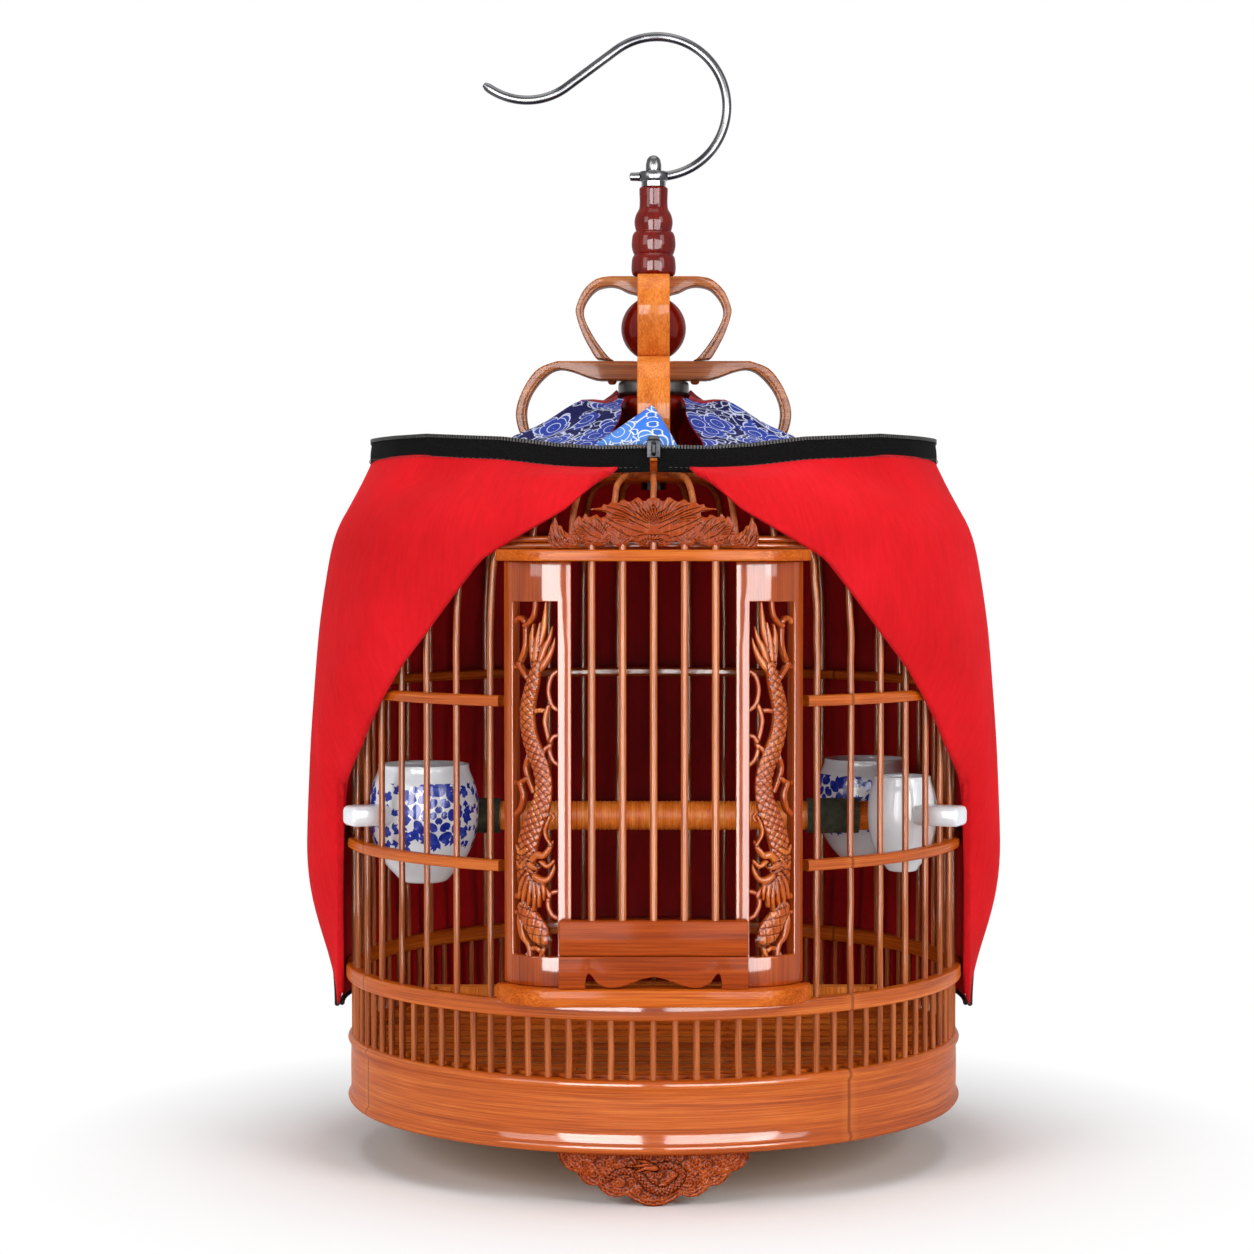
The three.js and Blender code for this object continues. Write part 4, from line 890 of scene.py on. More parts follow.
# Where two lobes of a foot's edge meet: shares of half its width and of its height below the rim
FOOT_CUSP_SHARES = [(1.0, 1.0), (0.785, 0.6), (0.575, 0.37), (0.275, 0.215)]
# Scrolls on half of a foot: shares across and up, size, turns and the angle they start at
FOOT_SCROLLS = [
    (0.80, 0.86, 3.3, 1.6, 200), (0.655, 0.85, 3.1, 1.5, 340), (0.52, 0.50, 2.9, 1.7, 90),
    (0.36, 0.42, 3.3, 1.8, 250), (0.20, 0.30, 2.6, 1.5, 30), (0.44, 0.80, 2.8, 1.6, 120),
    (0.09, 0.16, 2.4, 1.5, 80), (0.66, 0.62, 2.2, 1.4, 10),
]
# The winding body on a foot as (x, z, half width), the middle of its head, and the tips of its horns
FOOT_BODY = [(-24, 12.5, 1.0), (-15, 17.5, 1.6), (-7, 15, 2.0), (-2, 9.5, 2.1), (5, 7.5, 2.1),
             (12, 11.5, 2.0), (14, 17, 1.8), (8, 20.5, 1.7), (1, 19, 1.9)]
FOOT_HEAD = (1, 19)
FOOT_HORN_TIPS = [(-8, 23), (-10, 20), (-9, 17)]
FOOT_CURL_PITCH = 5.4
FOOT_CURL_ROW = 4.3
FRET = 2.1


def foot_outline():
    """The foot's scalloped lower edge, as the way round and the level."""
    cusps = [(-across * FOOT_HALF, up * FOOT_HEIGHT) for across, up in FOOT_CUSP_SHARES]
    cusps += [(-x, z) for x, z in cusps[::-1]]
    edge = []
    for (x0, z0), (x1, z1) in zip(cusps, cusps[1:]):
        chord = math.hypot(x1 - x0, z1 - z0)
        nx, nz = (z1 - z0) / chord, -(x1 - x0) / chord
        middle = z0 == z1
        for k in range(8):
            t = k / 8
            bulge = 4 * t * (1 - t) * (FOOT_HEIGHT * 0.21 if middle else chord * 0.2)
            edge.append((lerp(x0, x1, t) + nx * bulge, lerp(z0, z1, t) + nz * bulge))
    edge.append(cusps[-1])
    low = min(z for _, z in edge)
    return [(x, z - low * (1 - z / FOOT_HEIGHT)) for x, z in edge]


def spiral(x, z, size, turns, start=0.0, sign=1):
    """A scroll's line of (x, z), from its outside to its eye."""
    count = int(14 * turns)
    line = []
    for k in range(count + 1):
        share = k / count
        turn = math.radians(start) + sign * 2 * math.pi * turns * share
        reach = size * (1 - 0.85 * share)
        line.append((x + reach * math.cos(turn), z + reach * math.sin(turn)))
    return line


def foot_lines(edge):
    """The lines carved on a foot: ribs along the edge, scrolls in the lobes, short curls and a fret."""
    heart = FOOT_HEIGHT * 0.75
    lines = [[(x * (1 - inset), lerp(z, heart, inset * 1.25)) for x, z in edge] for inset in (0.04, 0.11)]
    lines.append([(-FOOT_HALF * 0.93, FOOT_HEIGHT * 0.955), (FOOT_HALF * 0.93, FOOT_HEIGHT * 0.955)])
    for side in (-1, 1):
        for across, up, size, turns, start in FOOT_SCROLLS:
            lines.append(spiral(side * across * FOOT_HALF, up * FOOT_HEIGHT, size, turns,
                                start if side > 0 else 180 - start, side))
        for k in range(7):
            x = side * (0.06 + 0.05 * k) * FOOT_HALF
            z = (0.38 + 0.06 * k) * FOOT_HEIGHT
            lines.append(smooth([(x, z), (x + side * 3.4, z + 1.6), (x + side * 4.2, z + 4.8)], 4))
        for k in range(9):
            x = side * (0.30 + 0.075 * k) * FOOT_HALF
            z = (0.62 + 0.03 * (k % 3)) * FOOT_HEIGHT
            lines.append([(x + FRET * right, z + FRET * up)
                          for right, up in ((0, 0), (1, 1), (2, 0), (1, -1), (0.4, 0))])
    return lines


def build_feet():
    """Three feet of one carving: curls all over, the lines above, and a winding scaled body with horns."""
    edge = foot_outline()
    top = foot_high.z - 1.5
    outline = edge + [(FOOT_HALF, top), (-FOOT_HALF, top)]
    carving = Relief(-FOOT_HALF - 1, FOOT_HALF + 1, -1, top + 1, 0.45)
    carving.fill(outline, 0.1, 0.5)
    # The sunk ground between the raised lines is painted in shade
    carving.shade[:] = 0.22
    for row in range(6):
        for column in range(-9, 10):
            x = (column + (row % 2) / 2) * FOOT_CURL_PITCH
            z = 3 + row * FOOT_CURL_ROW
            turned = 1 if (row + column) % 2 else -1
            carving.line(spiral(x, z, 2.5, 1.5, 50 * column + 130 * row, turned), 0.45, 0.42)
    for line in foot_lines(edge):
        carving.line(line, 0.5, 0.5)
    carving.stroke(smooth(FOOT_BODY, 6), 1.0, 0.9, 2.2)
    for x, z in FOOT_HORN_TIPS:
        carving.stroke([(*FOOT_HEAD, 1.3), (-4, (FOOT_HEAD[1] + z) / 2 + 1, 0.9), (x, z, 0.3)], 0.9, 0.9)
    for index, name in enumerate(["foot_front", "foot_back_right", "foot_back_left"]):

        def place(x, z, depth):
            return (*around(FOOT_RADIUS - depth, math.degrees(x / FOOT_RADIUS) + 120 * index), z)

        part = carving.part(place, 1.1, FOOT_THICKNESS)
        make(name + "_carved", part, carved_dark, replaces=[name], crisp=60)


# Wall and dome
# The dome's curve: shares of the way in from the shoulder to the top board, and of the rise
DOME_SHARES = [(0, 0), (0.06, 0.47), (0.19, 0.77), (0.45, 0.93), (1, 1)]
DOME_RISE = RIB_TOP_LEVEL - SHOULDER_LEVEL


def dome_line():
    run = SHOULDER_RADIUS - top_high.x
    return [(SHOULDER_RADIUS - run * across, SHOULDER_LEVEL + DOME_RISE * up) for across, up in DOME_SHARES]


def wall_line():
    """A long bar's line as (radius, level), from the lower ring to the top board."""
    half_way = lerp(ring_low.z, middle_low.z, 0.5)
    levels = (ring_low.z + 3, half_way, middle_high.z, upper_high.z, SHOULDER_LEVEL - BEND_DROP)
    line = [(BAR_CIRCLE, level) for level in levels]
    line.append((lerp(BAR_CIRCLE, SHOULDER_RADIUS, 0.3), SHOULDER_LEVEL - BEND_DROP / 2))
    return line + dome_line() + [(top_high.x - 3, RIB_TOP_LEVEL)]


def build_bars():
    """The bars, each a little bowed and of its own thickness. Those over the portal start at the dome."""
    lower = Shape()
    low, high = rim_high.z - 2, ring_low.z + 2
    for k in range(2 * MAIN_BARS):
        angle = k * BAR_ANGLE / 2
        wobble = chance.uniform(-0.12, 0.12)
        path = [(*around(BAR_CIRCLE, angle), low), (*around(BAR_CIRCLE, angle + wobble), (low + high) / 2),
                (*around(BAR_CIRCLE, angle), high)]
        lower.add(tube(path, BAR_RADIUS * chance.uniform(0.94, 1.04), 12))
    make("short_bars", lower, bamboo_bars, replaces=[f"lower_bars_{k}" for k in range(1, 5)])
    wall = Shape()
    line = wall_line()
    for k in range(MAIN_BARS):
        angle = k * BAR_ANGLE
        over_portal = min(k, MAIN_BARS - k) < PORTAL_BARS
        wobble = chance.uniform(-0.1, 0.1)
        curve = smooth(line[-6:] if over_portal else line, 5)
        path = [(*around(radius, angle + wobble * math.sin(i)), level)
                for i, (radius, level) in enumerate(curve)]
        wall.add(tube(path, BAR_RADIUS * chance.uniform(0.95, 1.05), 12, lambda p: (p.x, p.y, 0.3 * p.z)))
    make("long_bars", wall, bamboo_bars,
         replaces=[f"wall_bars_{k}" for k in range(1, 7)] + [f"dome_ribs_{k}" for k in range(1, 5)])


def rounded_section(inner, outer, low, high, round_by):
    """A ring's section between two radii and two levels, with rounded corners."""
    section = []
    for radius, level, start in ((inner, low, 180), (outer, low, 270), (outer, high, 0), (inner, high, 90)):
        x = radius + (round_by if radius == inner else -round_by)
        z = level + (round_by if level == low else -round_by)
        section += arc(x, z, round_by, start, start + 90, 4)
    return section


def build_rings():
    """The lower ring, the two that stop at the portal, and the pair of hoops at the shoulder."""
    section = rounded_section(RING_INSIDE, RING_OUTER, ring_low.z, ring_high.z, 1.6)
    make("lower_ring", lathe(section, 192, closed=True), bamboo_round, replaces=["ring_lower"], crisp=60)
    angles = spread(PORTAL_HALF_ANGLE, 360 - PORTAL_HALF_ANGLE, 150)
    for name, low, high in (("middle", middle_low, middle_high), ("upper", upper_low, upper_high)):
        section = rounded_section(RING_INSIDE, RING_OUTER, low.z, high.z, 1.5)
        make(f"{name}_ring", sweep_round(section, angles), bamboo_round, replaces=[f"ring_{name}"], crisp=60)
    hoops = Shape()
    for low, high in ((hoop_low.z, hoop_low.z + 2.8), (hoop_low.z + 3.2, hoop_high.z)):
        section = rounded_section(SHOULDER_RADIUS + 1.2, hoop_high.x, low, high, 1.2)
        hoops.add(lathe(section, 160, closed=True))
    make("shoulder_hoops", hoops, bamboo_round, replaces=["shoulder_hoop"], crisp=60)


def build_roof_board():
    radius = top_high.x
    low, high = top_low.z, top_high.z
    profile = [(BORE_RADIUS, low), (radius - 1.2, low), (radius, low + 1.2), (radius, high - 2.4),
               (radius - 0.8, high - 0.9), (radius - 2.6, high), (BORE_RADIUS, high)]
    # The roof board takes the dark door wood as painted shade, for it lies in the cover's shadow
    make("roof_board", lathe(profile, 96, closed=True), bamboo_deep_and_shaded, replaces=["top_board"], crisp=40)


# Portal: the bay's planks and panels are flat in front, with rounded ends
PLANK_FLAT = 46
PLANK_RADIUS = 32
PLANK_SWEEP = 80
PLANK_DEPTH = 17
PANEL_REACH = -panel_low.y
PANEL_RADIUS = 29
PANEL_THICKNESS = 5
DOORWAY_HALF = panel_low.x
WINDOW_NEAR = DOORWAY_HALF + 6.6
WINDOW_FAR = panel_high.x - 4.3
WINDOW_LOW = panel_low.z + 14.5
WINDOW_HIGH = panel_high.z - 19.5


def bay_point(x, depth, reach, radius):
    """A point of the bay's front at x, moved in by depth along its normal."""
    over = max(abs(x) - PLANK_FLAT, 0)
    sine = over / radius
    cosine = math.sqrt(max(1 - sine * sine, 0))
    y = -reach + radius - radius * cosine
    return math.copysign(abs(x) - depth * sine, x), y + depth * cosine


def bay_outline(reach, radius, sweep, depth):
    """The bay's plan: a flat front with rounded ends, and the same again, moved in by depth."""
    outer = arc(PLANK_FLAT, radius - reach, radius, -90, sweep - 90, 12)
    inner = arc(PLANK_FLAT, radius - reach, radius - depth, sweep - 90, -90, 12)
    right = outer + inner
    return right + [(-x, y) for x, y in right[::-1]]


def build_planks():
    outline = bay_outline(-sill_low.y, PLANK_RADIUS, PLANK_SWEEP, PLANK_DEPTH)
    for name, node, low, high, bevel in (("bay_sill", "portal_sill", sill_low.z, sill_high.z, 1.1),
                                         ("bay_rail", "portal_top_rail", rail_low.z, rail_high.z, 0.9)):
        plank = prism(outline, lambda x, y, level: (x, y, low + level), high - low)
        make(name, plank, bamboo_level, replaces=[node], bevel=bevel)


def cell_plate(xs, zs, holes, point, thickness):
    """A plate made of a grid's cells, without the holes. point gives the place at x, z and a depth."""
    numbers, points, faces = {}, [], []

    def corner(i, k, depth):
        key = (i, k, depth)
        if key not in numbers:
            numbers[key] = len(points)
            points.append(point(xs[i], zs[k], depth))
        return numbers[key]

    cells = {(i, k) for i in range(len(xs) - 1) for k in range(len(zs) - 1)} - set(holes)
    for i, k in sorted(cells):
        for depth in (0, thickness):
            ring = ((i, k), (i + 1, k), (i + 1, k + 1), (i, k + 1))
            face = [corner(*place, depth) for place in ring]
            faces.append(face if depth == 0 else face[::-1])
        for di, dk, a, b in ((-1, 0, (i, k), (i, k + 1)), (1, 0, (i + 1, k + 1), (i + 1, k)),
                             (0, -1, (i + 1, k), (i, k)), (0, 1, (i, k + 1), (i + 1, k + 1))):
            if (i + di, k + dk) not in cells:
                faces.append([corner(*a, 0), corner(*b, 0), corner(*b, thickness), corner(*a, thickness)])
    return points, faces


# The dragon's body: shares across the window from its outer side and down from its top, and half its width
DRAGON_BODY = [
    (0.50, 0.180, 2.0), (0.42, 0.225, 3.2), (0.30, 0.285, 3.5), (0.28, 0.335, 3.6), (0.35, 0.385, 3.9),
    (0.47, 0.425, 4.2), (0.60, 0.465, 4.3), (0.67, 0.510, 4.4), (0.64, 0.555, 4.7), (0.52, 0.600, 5.2),
    (0.38, 0.645, 5.3), (0.28, 0.690, 5.0), (0.25, 0.740, 4.8), (0.28, 0.790, 5.0),
]
DRAGON_COIL = [(0.20, 0.865, 3.2), (0.32, 0.890, 4.4), (0.46, 0.915, 5.2), (0.60, 0.940, 5.2),
               (0.70, 0.955, 3.6)]
# Its strands, as rows of (across, down, half width)
DRAGON_TAIL = [
    [(0.46, 0.20, 1.6), (0.42, 0.145, 1.5), (0.40, 0.10, 1.2), (0.44, 0.065, 0.4)],
    [(0.52, 0.19, 1.7), (0.56, 0.13, 1.7), (0.66, 0.08, 1.5), (0.72, 0.02, 0.8), (0.74, -0.01, 0.3)],
    [(0.54, 0.19, 1.6), (0.66, 0.14, 1.6), (0.80, 0.105, 1.2), (0.88, 0.07, 0.3)],
    [(0.58, 0.19, 1.6), (0.74, 0.165, 1.5), (0.88, 0.13, 1.1), (0.94, 0.10, 0.3)],
    [(0.46, 0.18, 1.2), (0.52, 0.11, 1.2), (0.60, 0.06, 0.4)],
]
DRAGON_JAWS = [
    [(0.36, 0.735, 1.3), (0.50, 0.715, 1.7), (0.66, 0.715, 1.5), (0.80, 0.695, 1.3), (0.88, 0.675, 0.6)],
    [(0.46, 0.775, 1.5), (0.62, 0.785, 1.6), (0.78, 0.78, 1.3), (0.90, 0.755, 1.0), (0.92, 0.74, 0.5)],
    [(0.50, 0.755, 1.0), (0.60, 0.735, 1.1), (0.76, 0.745, 1.1), (0.90, 0.73, 0.8)],
    [(0.84, 0.685, 0.7), (0.74, 0.665, 0.8), (0.70, 0.645, 0.8), (0.76, 0.62, 0.75), (0.82, 0.605, 0.7)],
]
DRAGON_MANE = [
    [(0.30, 0.77, 1.2), (0.16, 0.80, 1.3), (0.10, 0.84, 0.5)],
    [(0.34, 0.78, 1.2), (0.24, 0.815, 1.3), (0.18, 0.86, 0.5)],
    [(0.40, 0.785, 1.2), (0.36, 0.825, 1.3), (0.30, 0.865, 0.5)],
    [(0.46, 0.79, 1.2), (0.47, 0.83, 1.3), (0.44, 0.87, 0.5)],
    [(0.52, 0.785, 1.2), (0.57, 0.82, 1.3), (0.56, 0.86, 0.5)],
    [(0.56, 0.78, 1.0), (0.66, 0.805, 1.2), (0.68, 0.84, 0.4)],
    [(0.28, 0.73, 1.2), (0.14, 0.75, 1.2), (0.06, 0.735, 0.4)],
    [(0.28, 0.70, 1.2), (0.12, 0.71, 1.1), (0.05, 0.69, 0.4)],
]
DRAGON_CLAWS = [
    [(0.20, 0.86, 1.4), (0.10, 0.90, 1.5), (0.16, 0.945, 1.4), (0.30, 0.97, 1.1), (0.36, 1.01, 0.8)],
    [(0.72, 0.95, 1.3), (0.66, 0.98, 1.2), (0.56, 1.01, 0.8)],
]
DRAGON_BROW = [(0.34, 0.742, 1.5), (0.44, 0.748, 1.5), (0.54, 0.744, 1.5)]
DRAGON_EYE = [(0.53, 0.740, 0.8), (0.55, 0.742, 0.8)]
# The carving's layers from the lowest up: their lines, the lift, the tone and the size of the scales
DRAGON_LAYERS = [
    (DRAGON_TAIL, 1.3, 0.9, 0), (DRAGON_CLAWS, 1.2, 0.85, 0), ([DRAGON_COIL], 1.6, 0.85, 5.4),
    ([DRAGON_BODY], 1.6, 0.85, 4.0), (DRAGON_MANE + DRAGON_JAWS, 1.7, 0.9, 0), ([DRAGON_BROW], 1.9, 0.9, 0),
    ([DRAGON_EYE], 2.1, 0.2, 0),
]
# Cloud scrolls that tie the dragon to its frame, as rows of (across, down)
PANEL_TENDRILS = [
    [(-0.03, 0.060), (0.10, 0.046), (0.22, 0.062), (0.23, 0.125), (0.08, 0.175), (-0.03, 0.186)],
    [(0.48, -0.01), (0.44, 0.035), (0.30, 0.062), (0.22, 0.068)],
    [(0.07, 0.176), (0.16, 0.194), (0.28, 0.216)],
    [(0.36, 0.42), (0.24, 0.465), (0.30, 0.50), (0.42, 0.535)],
    [(-0.03, 0.514), (0.10, 0.512), (0.25, 0.500)],
    [(-0.03, 0.606), (0.12, 0.582), (0.17, 0.545), (0.09, 0.514)],
    [(1.03, 0.195), (0.87, 0.208), (0.78, 0.247), (0.86, 0.290), (1.03, 0.305)],
    [(0.42, 0.310), (0.56, 0.306), (0.72, 0.307)],
    [(0.78, 0.295), (0.70, 0.335), (0.78, 0.385), (0.84, 0.40)],
    [(1.03, 0.376), (0.88, 0.382), (0.80, 0.412), (0.88, 0.445), (1.03, 0.460)],
    [(0.64, 0.425), (0.72, 0.412), (0.82, 0.405)],
    [(1.03, 0.815), (0.84, 0.822), (0.76, 0.85), (0.86, 0.882), (1.03, 0.893)],
    [(0.80, 0.83), (0.74, 0.815), (0.66, 0.80)],
    [(0.26, 1.01), (0.34, 0.985), (0.48, 0.978), (0.62, 0.99), (0.68, 1.01)],
    [(0.06, 0.83), (-0.03, 0.84)],
    [(0.30, 0.90), (0.10, 0.885), (-0.03, 0.88)],
]


def build_panel(side):
    """A board with a window, and the dragon and clouds carved in it."""
    name = "right" if side > 0 else "left"

    def point(x, z, depth):
        px, py = bay_point(x * side, depth, PANEL_REACH, PANEL_RADIUS)
        return px, py, z

    xs = [DOORWAY_HALF] + spread(WINDOW_NEAR, WINDOW_FAR, 9) + spread(WINDOW_FAR, panel_high.x, 4)[1:]
    zs = [panel_low.z, lerp(panel_low.z, WINDOW_LOW, 0.5)] + spread(WINDOW_LOW, WINDOW_HIGH, 9)
    zs += [lerp(WINDOW_HIGH, panel_high.z, 0.5), panel_high.z]
    holes = [(i, k) for i in range(1, 9) for k in range(2, 10)]
    make(f"panel_{name}_board", cell_plate(xs, zs, holes, point, PANEL_THICKNESS), bamboo_upright,
         replaces=[f"portal_panel_{name}"], bevel=0.5, crisp=50)

    def laid(rows, half=None):
        return [(lerp(WINDOW_FAR, WINDOW_NEAR, across), lerp(WINDOW_HIGH, WINDOW_LOW, down), half or own[0])
                for across, down, *own in smooth(rows, 6)]

    edge = 0.6
    carving = Relief(WINDOW_NEAR - edge, WINDOW_FAR + edge, WINDOW_LOW - edge, WINDOW_HIGH + edge, 0.4)
    for rows in PANEL_TENDRILS:
        carving.stroke(laid(rows, 1.05), 0.9, 0.8, flat=0.4)
    curl = [(0.84 + 0.075 * math.cos(t), 0.607 + 0.0095 * math.sin(t)) for t in spread(0, 2 * math.pi, 12)]
    carving.stroke(laid(curl, 0.6), 0.9, 0.9)
    for strands, lift, shade, scales in DRAGON_LAYERS:
        for rows in strands:
            carving.stroke(laid(rows), lift, shade, scales)
    make(f"panel_{name}_dragon", carving.part(point, 2.3, 4.4), carved_panel, crisp=70)


# Half of the brace-shaped cut along the threshold's lower edge: shares of half its width and of its height
BRACE_SHARES = [(0, 0.38), (0.12, 0.3), (0.25, 0.16), (0.38, 0.05), (0.46, 0.03), (0.53, 0.08), (0.6, 0.2),
                (0.655, 0.42), (0.69, 0.47), (0.715, 0.3), (0.72, 0)]


def columned(rows, top, place, depths):
    """A board of upright columns. rows holds each column's x and lower edge."""
    points, faces = [], []
    for depth in depths:
        for x, low in rows:
            points.append(place(x, low, depth))
            points.append(place(x, top, depth))
    back = 2 * len(rows)
    for k in range(len(rows) - 1):
        a = 2 * k
        faces.append([a, a + 2, a + 3, a + 1])
        faces.append([back + a, back + a + 1, back + a + 3, back + a + 2])
        faces.append([a, back + a, back + a + 2, a + 2])
        faces.append([a + 1, a + 3, back + a + 3, back + a + 1])
    end = back - 2
    faces.append([0, 1, back + 1, back])
    faces.append([end, back + end, back + end + 1, end + 1])
    return points, faces


def build_threshold():
    """The board below the door, with its brace-shaped lower edge."""
    low, high = threshold_low.z, threshold_high.z
    half = threshold_high.x
    right = [(half * across, lerp(low, high, up)) for across, up in smooth(BRACE_SHARES, 5)] + [(half, low)]
    front, back = threshold_low.y, threshold_high.y
    board = columned(both_halves(right), high, lambda x, z, depth: (x, front + depth, z), (0, back - front))
    make("threshold_board", board, bamboo_deep_and_shaded, replaces=["door_threshold"], bevel=0.5)


DOOR_BAR_RADIUS = 1.8
DOOR_BAR_PITCH = 15
DOOR_BARS = 5


DOOR_BOARD_HEIGHT = 17


def build_door():
    """The door's board and its bars."""
    board_high = grille_low.z + DOOR_BOARD_HEIGHT
    board = block(grille_low, (grille_high.x, grille_high.y, board_high))
    make("door_board", board, bamboo_deep_and_shaded, "door", replaces=["door_grille"], bevel=0.9)
    bars = Shape()
    plane = (grille_low.y + grille_high.y) / 2
    for k in range(DOOR_BARS):
        x = (k - (DOOR_BARS - 1) / 2) * DOOR_BAR_PITCH
        path = [(x, plane, z) for z in spread(board_high - 5, crest_low.z + 3.5, 6)]
        bars.add(tube(path, DOOR_BAR_RADIUS, 14))
    make("door_bars", bars, bamboo_bars, "door")


# The crest's left half, from its lower middle round to its top middle: shares of half its width and of its
# height
CREST_SHARES = [
    (0.0, 0.10), (0.03, 0.13), (0.06, 0.06), (0.13, 0.05), (0.18, 0.13), (0.22, 0.16), (0.27, 0.07),
    (0.36, 0.06), (0.41, 0.14), (0.45, 0.10), (0.52, 0.06), (0.62, 0.06), (0.68, 0.12), (0.715, 0.12),
    (0.76, 0.03),
    (0.86, 0.03), (0.94, 0.0), (0.98, 0.06), (1.0, 0.2), (0.985, 0.36), (0.97, 0.48), (0.95, 0.51),
    (0.93, 0.61), (0.905, 0.46), (0.875, 0.45), (0.86, 0.37), (0.84, 0.34), (0.80, 0.30), (0.77, 0.37),
    (0.755, 0.50), (0.745, 0.55), (0.705, 0.64), (0.68, 0.59), (0.645, 0.69), (0.615, 0.61), (0.54, 0.67),
    (0.51, 0.61), (0.465, 0.63), (0.445, 0.70), (0.50, 0.73), (0.61, 0.775), (0.50, 0.80), (0.475, 0.87),
    (0.43, 0.85), (0.40, 0.91), (0.345, 0.885), (0.29, 0.96), (0.23, 0.91), (0.19, 0.955), (0.145, 1.0),
    (0.09, 0.92), (0.05, 0.975), (0.0, 0.99),
]
# Strands carved on the crest's left half: rows of (across, up), as shares like the outline's
CREST_STRANDS = [
    [(0.05, 0.42), (0.13, 0.5), (0.26, 0.62), (0.38, 0.7), (0.46, 0.76), (0.57, 0.78)],
    [(0.05, 0.52), (0.14, 0.6), (0.26, 0.72), (0.36, 0.8), (0.44, 0.84)],
    [(0.05, 0.62), (0.14, 0.7), (0.24, 0.82), (0.34, 0.88)],
    [(0.04, 0.72), (0.11, 0.8), (0.17, 0.93)],
    [(0.03, 0.8), (0.06, 0.9), (0.05, 0.96)],
    [(0.08, 0.34), (0.2, 0.4), (0.32, 0.5), (0.42, 0.6), (0.47, 0.67)],
    [(0.14, 0.24), (0.26, 0.3), (0.36, 0.42), (0.45, 0.54)],
    [(0.48, 0.3), (0.54, 0.42), (0.6, 0.5), (0.67, 0.57)],
    [(0.5, 0.22), (0.6, 0.3), (0.66, 0.42), (0.71, 0.52)],
    [(0.58, 0.16), (0.68, 0.22), (0.73, 0.34), (0.755, 0.46)],
    [(0.44, 0.36), (0.48, 0.48), (0.52, 0.58), (0.56, 0.63)],
    [(0.84, 0.1), (0.87, 0.22), (0.9, 0.36), (0.925, 0.56)],
    [(0.88, 0.08), (0.92, 0.2), (0.945, 0.34), (0.955, 0.46)],
    [(0.8, 0.12), (0.82, 0.2), (0.86, 0.3), (0.885, 0.42)],
    [(0.92, 0.06), (0.96, 0.16), (0.975, 0.3)],
    [(0.0, 0.2), (0.07, 0.22), (0.13, 0.16), (0.17, 0.18)],
    [(0.0, 0.3), (0.08, 0.31), (0.15, 0.28)],
    [(0.0, 0.88), (0.02, 0.84), (0.0, 0.8)],
]
# Its scrolls: shares across and up, size and the angle they start at
CREST_SCROLLS = [(0.32, 0.3, 2.0, 90), (0.42, 0.22, 1.7, 200), (0.55, 0.2, 1.9, 320), (0.2, 0.2, 1.5, 40),
                 (0.64, 0.2, 1.5, 150), (0.1, 0.14, 1.2, 250), (0.76, 0.12, 1.4, 60), (0.34, 0.16, 1.3, 0),
                 (0.26, 0.52, 1.5, 120), (0.4, 0.46, 1.4, 300)]
# Its fans of fine cuts: the middle's shares, the inner and outer reach, the first and last angle from
# straight up, and how many cuts
CREST_FANS = [
    (0.10, 0.40, 5, 17, -70, 60, 40), (0.56, 0.22, 4, 11, -60, 70, 27), (0.90, 0.02, 2.5, 11, -35, 45, 17),
    (0.34, 0.10, 2.5, 7.5, -80, 80, 21), (0.0, 0.05, 2.5, 7, -90, 90, 25), (0.72, 0.05, 2, 6.5, -70, 60, 15),
]


def build_crest():
    """The door's carved crest: a scalloped plate with fans, strands and scrolls."""
    half = crest_high.x
    rise = crest_high.z - crest_low.z
    front = crest_low.y

    def at(across, up, side=-1):
        return side * half * across, crest_low.z + rise * up

    left = [at(across, up) for across, up in CREST_SHARES]
    right = [(-x, z) for x, z in left[::-1]]
    carving = Relief(-half - 0.5, half + 0.5, crest_low.z - 0.5, crest_high.z + 0.5, 0.32)
    carving.fill(smooth(left[:-1] + right[:-1], 3, closed=True), 0.6, 1.6)
    carving.shade[:] = 0.75
    for side in (-1, 1):
        for across, up, inner, outer, first, last, count in CREST_FANS:
            x, z = at(across, up, side)
            for k in range(count):
                bearing = math.radians(lerp(first, last, k / (count - 1)))
                line = []
                for reach in spread(inner, outer, 5):
                    bent = bearing + 0.25 * (reach - inner) / (outer - inner)
                    line.append((x + side * reach * math.sin(bent), z + 0.8 * reach * math.cos(bent)))
                carving.line(line, -0.2 if k % 2 else 0.22, 0.32)
        for rows in CREST_STRANDS:
            line = [at(across, up, side) for across, up in smooth(rows, 5)]
            carving.line(line, 0.35, 0.45)
            carving.line([(x, z - 0.7) for x, z in line], -0.3, 0.36)
        for across, up, size, start in CREST_SCROLLS:
            x, z = at(across, up, side)
            carving.line(spiral(x, z, size, 1.4, start, side), -0.3, 0.36)
            carving.line(spiral(x, z, size * 1.25, 1.2, start, side), 0.3, 0.38)
    part = carving.part(lambda x, z, depth: (x, front + depth, z), 1.6, crest_high.y - front)
    make("crest_carved", part, carved_dark, "door", replaces=["door_crest"], crisp=60)


